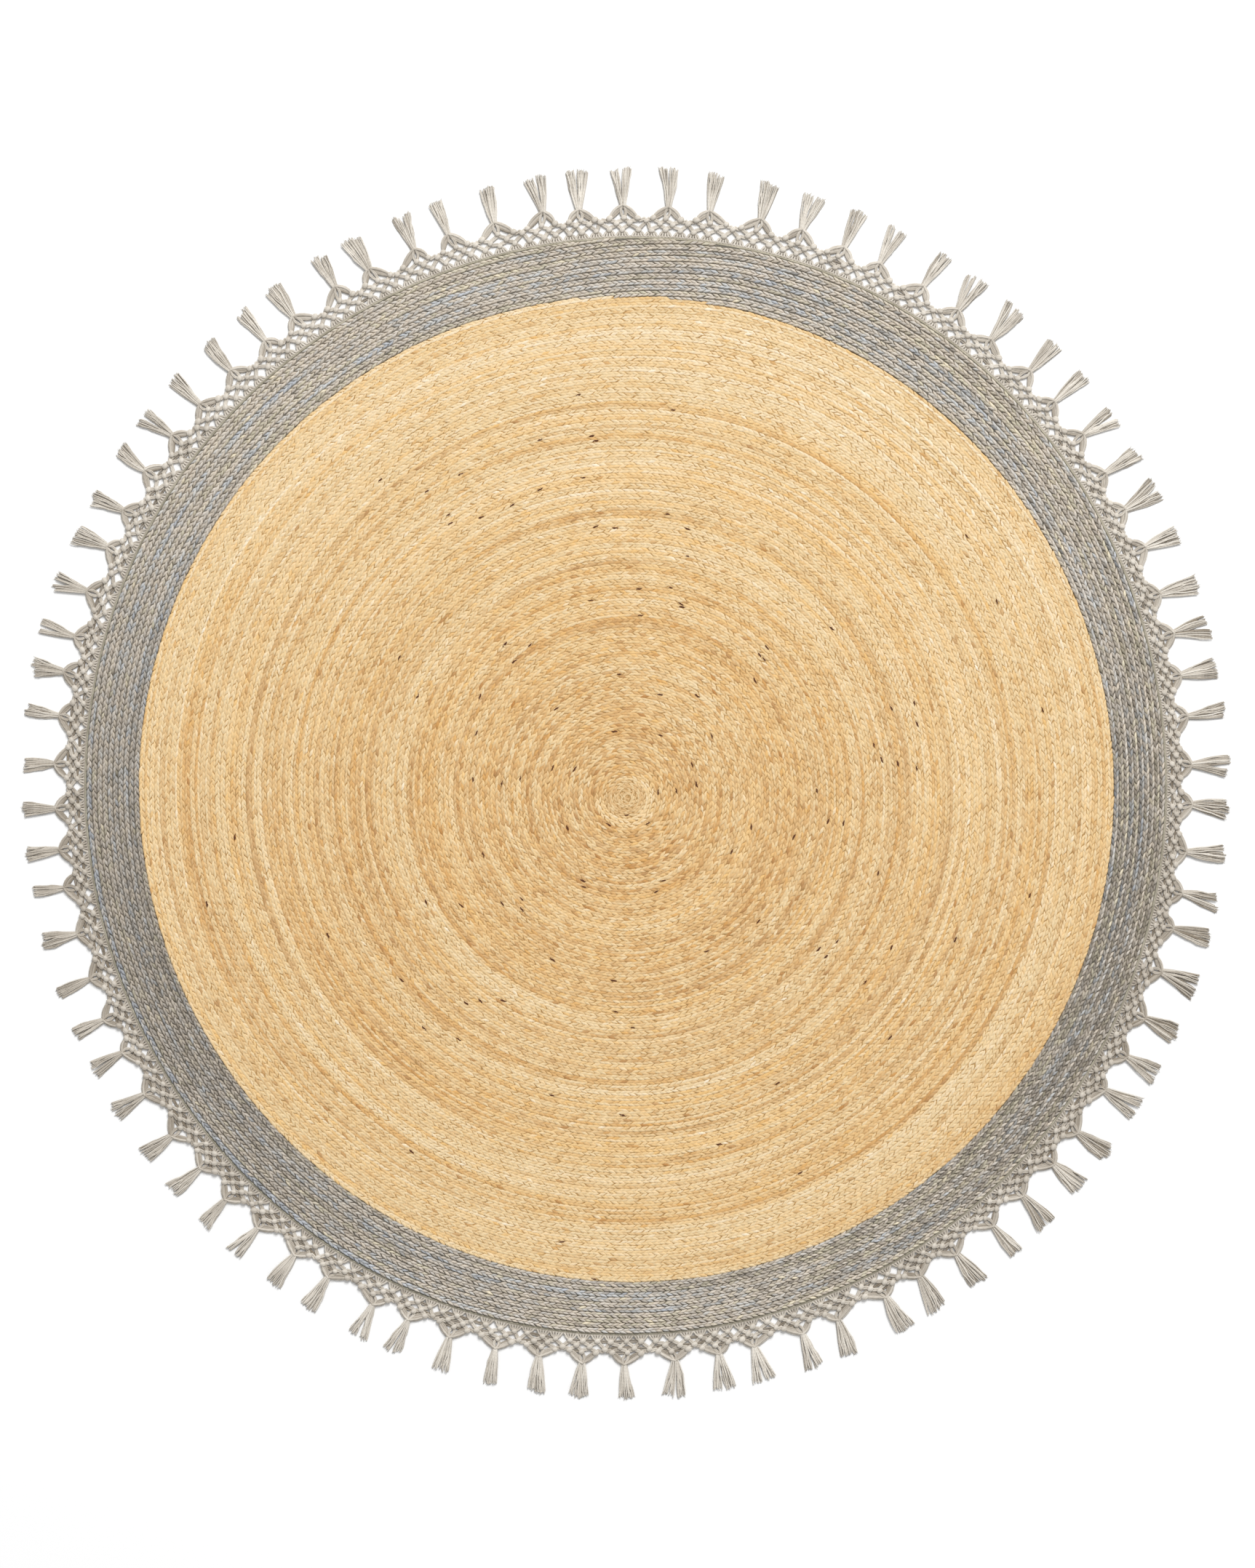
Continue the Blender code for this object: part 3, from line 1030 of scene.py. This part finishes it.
# %% Tree: cords along lines
def store(tree, geometry, name, kind, value):
    """Keep a value at each point of a geometry, under a name."""
    inputs = {"Geometry": geometry, "Name": name}
    made = add(tree, "GeometryNodeStoreNamedAttribute", inputs, data_type=kind, domain="POINT")
    put(value, in_use(made.inputs, "Value"))
    return made.outputs[0]


cords_on_lines, given, wanted = geometry_group("cords_on_lines", {"Sides": "Int", "Finish": "Material"})
tree = cords_on_lines
curves = add(tree, "GeometryNodeMeshToCurve", {"Mesh": given["Geometry"]}).outputs[0]
length_so_far = add(tree, "GeometryNodeSplineParameter").outputs["Length"]
curves = store(tree, curves, "along", "FLOAT", length_so_far)
circle = add(tree, "GeometryNodeCurvePrimitiveCircle", {"Resolution": given["Sides"], "Radius": 1.0})
spot = add(tree, "GeometryNodeInputPosition").outputs[0]
section = store(tree, circle.outputs["Curve"], "rim", "FLOAT_VECTOR", spot)
wrapped = add(tree, "GeometryNodeCurveToMesh", {
    "Curve": curves, "Profile Curve": section, "Scale": kept(tree, "thickness"), "Fill Caps": True})
finish_group(tree, given, wanted, wrapped.outputs[0])

# %% Lines that become a piece
# Share of the painted light round the rug that the cotton gets.
COTTON_LIGHT_SHARE = 0.62


def cotton_painted_light(points):
    """How much darker or paler the cotton is painted round the rug, as painted light in the same waves as
    the border.
    """
    return COTTON_LIGHT_SHARE * waves(PAINTED_LIGHT_ROUND, np.arctan2(points[:, 1], points[:, 0]))


class Lines:
    """Lines collected for one piece, with a thickness and a tone at each point."""

    def __init__(self):
        self.points, self.joins, self.thick, self.tones = [], [], [], []

    def add(self, points, thickness, tone=1.0):
        """One more line. Its thickness and tone are one number or one for each point."""
        first, count = len(self.points), len(points)
        self.points += [tuple(float(v) for v in point) for point in points]
        self.joins += [(k, k + 1) for k in range(first, first + count - 1)]
        self.thick += np.broadcast_to(thickness, count).tolist()
        self.tones += np.broadcast_to(tone, count).tolist()

    def grow(self, name, sides, look):
        """The piece that the tree makes of the lines."""
        # Painted light round the rug is added to every tone.
        tones = np.clip(np.array(self.tones) + cotton_painted_light(np.array(self.points)), 0, 1)
        guide = new_mesh(name, self.points, self.joins, thickness=self.thick, tone=tones)
        return grow(name, guide, cords_on_lines, {"Sides": sides, "Finish": look})


# %% [markdown]
# ## The net
#
# Cords leave the heading in fans and are gathered into a first row of knots.
# From the top of each knot a pair of cords swings left and right and enters
# the knots of the next row from below, so the bars lie nearly flat and the
# openings between them are low lenses. From the third row the cords sweep up
# in arches to the neck of each tassel. The layout is in shares of a scallop,
# from valley to valley, and distances out from the tape.

# %% Layout of the net
# Rows of knots as (distance out, places in a scallop).
KNOT_ROWS = (
    (0.0057, (1 / 6, 3 / 6, 5 / 6)), (0.0122, (0, 2 / 6, 4 / 6)), (0.0184, (1 / 6, 3 / 6, 5 / 6)))
KNOT_STRAY = (0.026, 0.0009)
VALLEY_OUT = 0.0024
PUSHED_IN = 0.22


def net_angle(place):
    """Direction of a place along the net, in scallops from the first."""
    index = math.floor(place + 1e-9)
    left, right = valley_angle(index), valley_angle(index + 1)
    return left + (right - left) * (place - index)


def knot_place(row, index, step):
    """Where a knot lies, a little off its even place and pushed in on the right."""
    index, step = index + step // 3, step % 3
    out, shares = KNOT_ROWS[row]
    place = index + shares[step]
    mark = (index % TASSELS) * 3 + step
    if row == 1 and step == 0:
        out += VALLEY_OUT
    out *= 1 - PUSHED_IN * max(0.0, math.cos(net_angle(place))) ** 2
    return place + KNOT_STRAY[0] * scatter(mark, 20 + row), out + KNOT_STRAY[1] * scatter(mark, 24 + row)


# %% Fans and bars of the net
CORD = 0.00132
PAIR = 0.00092
KNOT_LIFT = 0.0021
FAN_CORDS = (-0.0074, -0.0037, 0.0, 0.0037, 0.0074)
FAN_WIDTHS = np.array([0.9, 1.0, 0.8])
FAN_TONES = np.array([0.80, 0.72, 0.72])
# Ends of a bar as (distance past the knot, distance aside), at the knot and at the bend.
BAR_END, BAR_BEND = (0.0012, 0.0004), (0.0025, 0.0021)
BAR_HEIGHTS = (KNOT_LIFT, CORD * 1.25, CORD * 1.05, KNOT_LIFT)
BAR_SPREAD = np.array([0.6, 1.0, 1.0, 0.6])[:, None]
net, arches = Lines(), Lines()


def net_point(place, out, sideways, height):
    """Point of the net, with its height over the floor."""
    return fringe_point(net_angle(place), out, sideways, height)


def bar_between(lower, upper, tone):
    """A pair of cords from the top of one knot to the foot of another."""
    hand = 1 if upper[0] > lower[0] else -1
    ends = ((lower, 1, BAR_END), (lower, 1, BAR_BEND), (upper, -1, BAR_BEND), (upper, -1, BAR_END))
    rows = np.array([
        net_point(place, out + way * past, way * hand * aside, height)
        for ((place, out), way, (past, aside)), height in zip(ends, BAR_HEIGHTS)])
    along = rows[2] - rows[1]
    across = np.array([-along[1], along[0], 0]) / np.linalg.norm(along[:2])
    for side in (-1, 1):
        net.add(rows + across * side * PAIR * BAR_SPREAD, CORD, tone)


knots = []
for index in range(TASSELS):
    for step in range(3):
        low, second, third = (knot_place(row, index, step) for row in range(3))
        before, above = (knot_place(row, index, step - 1) for row in (0, 2))
        knots += [(*low, 1.0), (*second, 1.0), (*third, 0.95 if step == 1 else 1.08)]
        for off in FAN_CORDS:
            tones = FAN_TONES + 0.2 * scatter(index * 15 + step * 5 + off * 270, 32)
            net.add([
                net_point(low[0], -0.0017, off, 0.0029),
                net_point(low[0], low[1] * 0.45, off * 0.66, CORD * 1.3),
                net_point(low[0], low[1] - 0.0006, off * 0.26, KNOT_LIFT),
            ], FAN_WIDTHS * CORD, tones)
        bars = ((before, second), (low, second), (second, above), (second, third))
        for way, (lower, upper) in enumerate(bars):
            # Bars lie lower than the knots and are painted a little darker, as shade.
            bar_between(lower, upper, 0.76 + 0.24 * scatter(index * 12 + step * 4 + way, 31))
print(len(knots), "knots,", len(net.joins), "stretches of cord so far")

# %% [markdown]
# ## Slack strands in the openings
#
# Many diamonds of the net are not clear holes. A strand or two that was left
# out of the knots lies across them, low, and its cotton is painted dark as
# shade. Along the top of the photo nearly all of them are open to the floor,
# and elsewhere about half or more are crossed. So a strand goes in by chance,
# with a share that follows the direction.

# %% Slack strands that lie in the openings
SLACK = 0.00085
SLACK_END = 0.0015
SLACK_APART = 0.0010
SLACK_SHARE = 0.52
SLACK_WAVES = ((1, 0.065, -0.33), (2, 0.26, 0.0))

for index in range(TASSELS):
    for row in range(3):
        for step in range(3):
            mark = index * 9 + row * 3 + step
            here, after = knot_place(row, index, step), knot_place(row, index, step + 1)
            share = SLACK_SHARE + waves(SLACK_WAVES, net_angle(here[0]))
            if 0.5 + 0.5 * scatter(mark, 57) > share or (row == 2 and step == 2):
                continue
            between = [(first + last) / 2 for first, last in zip(here, after)]
            for side in (-1, 1):
                out = SLACK_APART * side + 0.0005 * scatter(mark, 58 + side)
                # Slack strands are painted dark, as the shade they lie in.
                net.add([
                    net_point(here[0], here[1] + out * 0.5, SLACK_END, 1.2 * SLACK),
                    net_point(between[0], between[1] + out, 0.0, 1.1 * SLACK),
                    net_point(after[0], after[1] + out * 0.5, -SLACK_END, 1.2 * SLACK),
                ], SLACK, 0.16 + 0.20 * scatter(mark, 60 + side))
print(len(net.joins), "stretches of cord with the slack strands")

# %% [markdown]
# ## Arches and necks
#
# The arch is a bundle of cords that leaves an outer knot of the third row and
# bends over to the neck. Its lower cords sag and close most of the space below
# it, and they are painted darker, as shade under the arch. Two more pairs come
# straight up from the middle knot and part around a small dark hole. All of
# them cross in the neck.

# %% Shape of the arches
ARCH_CORD = 0.00125
ARCH_RISE = 0.0016
ARCH_STEPS = 5
ARCH_STRAY, MIDDLE_STRAY = 0.0004, 0.0005
RISE_AT_KNOT = 0.0006
NECK_CROSS = 0.0008
NECK_LAYER = 0.0004
MIDDLE_OUT, MIDDLE_LIFT, MIDDLE_BEND = 0.0008, 0.0016, 0.0062
# Cords of an arch: distance out of the knot, then at the bend the distance
# aside and the one past the top, then the height and the height at the neck.
ARCH_CORDS = (
    (0.0014, 0.0116, -0.0030, 0.0013, 0.0014),
    (0.0004, 0.0106, -0.0048, 0.0023, 0.0036),
    (-0.0006, 0.0096, -0.0070, 0.0013, 0.0020),
    (-0.0014, 0.0084, -0.0096, 0.0013, 0.0013),
    (-0.0018, 0.0068, -0.0122, 0.0013, 0.0013),
)
# Cords from the middle knot: distance aside at the knot, distance aside and
# height at the bend, distance aside and height at the neck.
MIDDLE_CORDS = ((0.0004, 0.00391, 0.0018, 0.0002, 0.0034), (0.0014, 0.00663, 0.0026, 0.0014, 0.0028))
NECK_START = 0.0296
NECK_WAVES = ((1, -0.0022, 0.0010),)
NECK_STRAY = 0.0024


def neck_out(index):
    """How far out the neck of a tassel lies."""
    return NECK_START + waves(NECK_WAVES, tassel_angle(index)) + NECK_STRAY * scatter(index, 54)


def add_arch(angle, ends, thickness, tone):
    """An arch between the first and last of three (sideways, out, height), pulled to the second."""
    t = np.arange(ARCH_STEPS + 1)[:, None] / ARCH_STEPS
    first, bend, last = np.array(ends)
    rows = (1 - t) ** 2 * first + 2 * t * (1 - t) * bend + t ** 2 * last
    arches.add([fringe_point(angle, out, side, high) for side, out, high in rows], thickness, tone)


def knot_of_scallop(index, step):
    """How far sideways of its tassel and how far out a knot of the third row lies."""
    place, out = knot_place(2, index, step)
    centre = tassel_angle(index)
    return (net_angle(place) - centre) * (edge_radius(centre) + out), out


# %% Arches of each scallop
for index in range(TASSELS):
    centre = tassel_angle(index)
    top = neck_out(index) + ARCH_RISE
    for hand, step in ((-1, 0), (1, 2)):
        sideways, out = knot_of_scallop(index, step)
        for layer, (leave, far, drop, lift, neck_lift) in enumerate(ARCH_CORDS):
            stray = ARCH_STRAY * scatter(index * 10 + layer * 2 + step, 33)
            # Lower cords of the arch are painted darker, as shade under it.
            tone = 0.84 - 0.12 * layer + 0.28 * scatter(index * 10 + layer + step * 5, 34)
            add_arch(centre, (
                (sideways - hand * leave * 0.4, out + leave, lift + RISE_AT_KNOT),
                (hand * far + stray, top + drop + stray, lift),
                (-hand * NECK_CROSS, top - NECK_LAYER * layer, neck_lift),
            ), ARCH_CORD, tone)
    middle, out = knot_of_scallop(index, 1)
    for hand in (-1, 1):
        for lane, (leave, far, lift, cross, neck_lift) in enumerate(MIDDLE_CORDS):
            stray = MIDDLE_STRAY * scatter(index, 36 + lane)
            add_arch(centre, (
                (middle + hand * leave, out + MIDDLE_OUT, MIDDLE_LIFT),
                (hand * far, top - MIDDLE_BEND + stray, lift),
                (-hand * cross, top + 0.0004, neck_lift),
            ), 0.85 * ARCH_CORD, 0.68 + 0.2 * scatter(index * 4 + lane * 2 + hand, 35))
net_bars = net.grow("net_bars", 6, cord_look)
arch_cords = arches.grow("arch_cords", 6, cord_look)

# %% [markdown]
# ## Knots
#
# Each knot is a tight little pebble of cord, wider than it is deep. One mesh
# stands on every place of the net where cords meet.

# %% Mesh: one knot
KNOT_SIZE = (0.0078, 0.0061, 0.0048)
KNOT_HEIGHT = 0.62 * KNOT_SIZE[2]
KNOT_RINGS, KNOT_CORNERS = 4, 8
WAIST, WAIST_TURN = 0.10, 0.8


def knot_mesh():
    """A closed pebble with a shallow waist where the cord wraps round."""
    points = [(0, 0, -0.5)]
    for ring in range(1, KNOT_RINGS + 1):
        tilt = math.pi * ring / (KNOT_RINGS + 1)
        for corner in range(KNOT_CORNERS):
            swing = math.tau * corner / KNOT_CORNERS
            fat = 1 - WAIST * math.cos(2 * swing + WAIST_TURN) * math.sin(tilt)
            wide = 0.5 * math.sin(tilt) ** 0.8 * fat
            points.append((wide * math.cos(swing), wide * math.sin(swing), -0.5 * math.cos(tilt)))
    points.append((0, 0, 0.5))
    faces, last = [], len(points) - 1
    for corner in range(KNOT_CORNERS):
        near = (corner + 1) % KNOT_CORNERS
        faces.append((0, 1 + near, 1 + corner))
        for low in range(1, last - KNOT_CORNERS, KNOT_CORNERS):
            high = low + KNOT_CORNERS
            faces.append((low + corner, low + near, high + near, high + corner))
        faces.append((last, last - KNOT_CORNERS + corner, last - KNOT_CORNERS + near))
    mesh = new_mesh("net_knot", points, faces=faces)
    hold(mesh, "rim", [(y, z, 0) for x, y, z in points], "FLOAT_VECTOR", "vector")
    hold(mesh, "along", [x * KNOT_SIZE[0] for x, y, z in points])
    return mesh


# %% Knots on their places
net_knot = new_object("net_knot", knot_mesh())
shares, outs, knot_sizes = zip(*knots)
towards = np.array([net_angle(share) for share in shares])
spots = np.array([fringe_point(angle, out, 0.0, KNOT_HEIGHT) for angle, out in zip(towards, outs)])
# Knots are painted paler than the bars below them, and get the painted light round the rug too.
tones = np.clip(0.93 + 0.14 * scatter(np.arange(len(spots)), 37) + cotton_painted_light(spots), 0, 1)
guide = new_mesh("net_knots", spots, turn=towards + math.pi / 2, size=knot_sizes, tone=tones)
net_knots = set_shapes("net_knots", guide, net_knot, KNOT_SIZE, (24, 0.12), 9, cord_look)

# %% [markdown]
# ## Tassels
#
# Past the neck every cord is undone into its plies. They fan out flat on the
# floor in two or three locks, most of them straight, with blunt ends that
# fray a little. Each ply is its own thin cord, a little wavy, some of them
# high and some low, so that dark slits show between the high ones; the low
# plies are also painted darker as shade, most of all on the right, and each
# tassel gets painted light by its direction round the rug. A few loose fibres
# stand out at the ends.

# %% Sizes of the tassels
PLIES = 24
PLY = 0.00080
CLUMP = 3
ALONG_PLY = np.arange(8) / 7
PLY_WIDTHS = PLY * np.array([1.05] * 6 + [1.0, 0.70])
# How wide the fan is along its plies, as a share of the width at its end.
FAN_SHAPE = np.interp(ALONG_PLY, (0.0, 0.2, 0.5, 1.0), (0.27, 0.46, 0.72, 1.0))
FAN_SPREAD = (0.97, 0.16, 0.08)
PLY_TONE = 0.61
# How much paler a high ply is painted than a low one, as shade, and each ply's own stray of tone.
PLY_HEIGHT_SHADE, TONE_STRAY = 0.46, 0.26
# Painted light of the tassels by their direction round the rug.
TASSEL_PAINTED_LIGHT = ((1, -0.043, -0.060), (2, -0.056, 0.020))
END_STRAY, END_CUT = 0.0015, 0.0009
SPLIT = 0.0024
PART_STRAY = 0.0008
CLUMP_STRAY = 0.0008
WOBBLE = 0.0011
# Lowest height of a ply and how much higher another may lie.
HEIGHT_AT_NECK = (0.0010, 0.0030)
HEIGHT_AT_END = (0.0008, 0.0022)
HAIR = 0.00018
# How far out of the plies' ends a hair bends and ends, and its strays out and aside.
HAIR_BEND, HAIR_END, HAIR_STRAY, HAIR_ASIDE = 0.0004, 0.0013, 0.0008, 0.0016
tassels, hairs = Lines(), Lines()


def ply_path(mark, end_side, drawn):
    """Places beside the tassel's middle along a ply, which waves a little on its way."""
    wobble, phase = WOBBLE * scatter(mark, 44), 3 * scatter(mark, 45)
    swing = np.sin(phase + ALONG_PLY * 6) + 0.4 * np.sin(2 * phase + ALONG_PLY * 14)
    return end_side * FAN_SHAPE + drawn + wobble * swing * np.minimum(1.0, 2 * ALONG_PLY)


# %% Plies and loose fibres of each tassel
for index in range(TASSELS):
    centre = tassel_angle(index)
    locks = locks_of(index)
    lean = TIP_LEAN * scatter(index, 4)
    on_right = math.cos(centre - 0.2)
    # This tassel's tone with its painted light.
    shade = PLY_TONE + waves(TASSEL_PAINTED_LIGHT, centre)
    spread = FAN_SPREAD[0] + FAN_SPREAD[1] * scatter(index, 55) + FAN_SPREAD[2] * on_right
    split = SPLIT if scatter(index, 56) > 0.3 else 0.0
    start_out = neck_out(index)
    for ply in range(PLIES):
        mark = index * PLIES + ply
        across = (ply + 0.5 + 0.45 * scatter(mark, 40)) / PLIES * 2 - 1
        lock = min(int((across + 1) / 2 * len(locks)), len(locks) - 1)
        left, right, end_out = locks[lock]
        within = (across + 1) / 2 * len(locks) - lock - 0.5
        end_side = ((left + right) / 2 - lean + within * (right - left) * 0.98) * spread
        end_out += END_STRAY * scatter(mark, 43) - END_CUT - abs(end_side) * TIP_SLOPE
        part = split if across > 0.1 * scatter(index, 61) else -split
        part += PART_STRAY * scatter(index * 3 + lock, 42)
        clump = CLUMP_STRAY * scatter(index * 16 + ply // CLUMP, 53)
        side = ply_path(mark, end_side, (lean + part) * ALONG_PLY ** 1.6 + clump * ALONG_PLY)
        lift = 0.5 + 0.5 * scatter(mark, 46)
        start_high = HEIGHT_AT_NECK[0] + HEIGHT_AT_NECK[1] * lift * (1 - 0.3 * across ** 2)
        end_high = HEIGHT_AT_END[0] + HEIGHT_AT_END[1] * lift
        high = start_high + (end_high - start_high) * ALONG_PLY ** 0.6
        out = start_out + (end_out - start_out) * ALONG_PLY
        rows = lifted(out_point(centre, out, side), np.maximum(high, 1.06 * PLY))
        # Low plies are painted darker as shade, the more so on the right.
        ply_tone = PLY_HEIGHT_SHADE * (lift - 0.5) + TONE_STRAY * scatter(mark, 52)
        tassels.add(rows, PLY_WIDTHS, shade + ply_tone * (1 + 0.5 * on_right))
        if scatter(mark, 47) > -0.7:
            aside = HAIR_ASIDE * scatter(mark, 48)
            reach = end_out + HAIR_END + HAIR_STRAY * scatter(mark, 49)
            hairs.add([
                rows[-2],
                fringe_point(centre, end_out + HAIR_BEND, side[-1] + aside * 0.5, PLY),
                fringe_point(centre, reach, side[-1] + aside, PLY),
            ], HAIR)
tassel_plies = tassels.grow("tassel_plies", 4, ply_look)
tassel_hairs = hairs.grow("tassel_hairs", 3, ply_look)

# %% [markdown]
# ## Heading tape
#
# The grey braid's cut edge is covered by a narrow ribbed tape, olive grey,
# with a plain cotton edge beside the net. The ribs lie across the tape, less
# than a millimetre apart, so they are small shapes on points again. Two thin
# heading cords run round the rug beside them and hold the fans.

# %% Material: ribbed tape
tape_look, tree, shader = new_look("ribbed_tape", 0.82)
fine = noise(tree, 1800.0)
colour = ramp(tree, noise(tree, 60.0), ((0.3, tint(168, 162, 143)), (0.7, tint(204, 198, 181))))
fine_tones = ramp(tree, fine, ((0.35, (0.7, 0.68, 0.62, 1)), (0.6, WHITE)))
colour = blend(tree, "MULTIPLY", 0.5, colour, fine_tones)
dress(tree, shader, colour, fine, 0.5, 0.0003)

# %% Ribs of the tape
RIB_PITCH = 0.00085
RIB_SIZE = (0.0019, 0.00082, 0.0008)
RIB_LINE = -0.0034
TAPE_HEIGHT = 0.0034
RIB_CROWN = ((-0.40, 0.0), (0.40, 0.0))
RIBS = int(math.tau * EDGE_RADIUS / RIB_PITCH)

around = math.tau * np.arange(RIBS) / RIBS
rib_shape = new_object("tape_rib", plait_mesh("tape_rib", RIB_CROWN, 0, RIB_SIZE[0], RIB_PITCH))
spots = lifted(edge_point(around, RIB_LINE), TAPE_HEIGHT)
guide = new_mesh("tape_ribs", spots, turn=around, size=np.ones(RIBS))
tape_ribs = set_shapes("tape_ribs", guide, rib_shape, RIB_SIZE, (6, 0.06), 3, tape_look)

# %% Cords and base of the tape
# Both as (distance from the tape's outer edge, height).
HEADING_CORDS = ((-0.0019, 0.0027), (-0.0008, 0.0022))
HEADING_CORD = 0.0007
TAPE_RINGS = (
    (-TAPE_WIDTH, TAPE_HEIGHT), (-0.0026, TAPE_HEIGHT), (-0.0022, 0.0014),
    (-CLEARANCE, 0.0012), (-CLEARANCE, 0.0), (-TAPE_WIDTH, 0.0))

heading = Lines()
around = math.tau * np.arange(BASE_CORNERS + 1) / BASE_CORNERS
for off, height in HEADING_CORDS:
    heading.add(lifted(edge_point(around, off), height), HEADING_CORD, 0.85)
heading_cords = heading.grow("heading_cords", 6, heading_look)
tape_base = ring_sheet("tape_base", edge_point, TAPE_RINGS, True, tape_look)

# %% [markdown]
# ## Which piece stands for which solid
#
# The whole rug is one body. Each solid is hidden behind the pieces that were
# made for it. The rug lies flat on the floor as one sheet, sewn together, and
# every piece hangs from that one body.

# %% Bodies, solids and finishes
for lender in (*field_plait.values(), *border_plait.values(), net_knot, rib_shape):
    bpy.data.objects.remove(lender)
for node, slot, pieces in (
    ("natural_field", "natural_jute", (field_base, left_plaits, right_plaits)),
    ("grey_border", "grey_jute", (border_base, left_greys, right_greys)),
    ("heading_tape", "ribbed_tape", (tape_base, tape_ribs)),
    ("knotted_fringe", "cotton_cord", (
        heading_cords, net_bars, arch_cords, net_knots, tassel_plies, tassel_hairs)),
):
    for piece in pieces:
        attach(piece, "root")
        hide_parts(node)
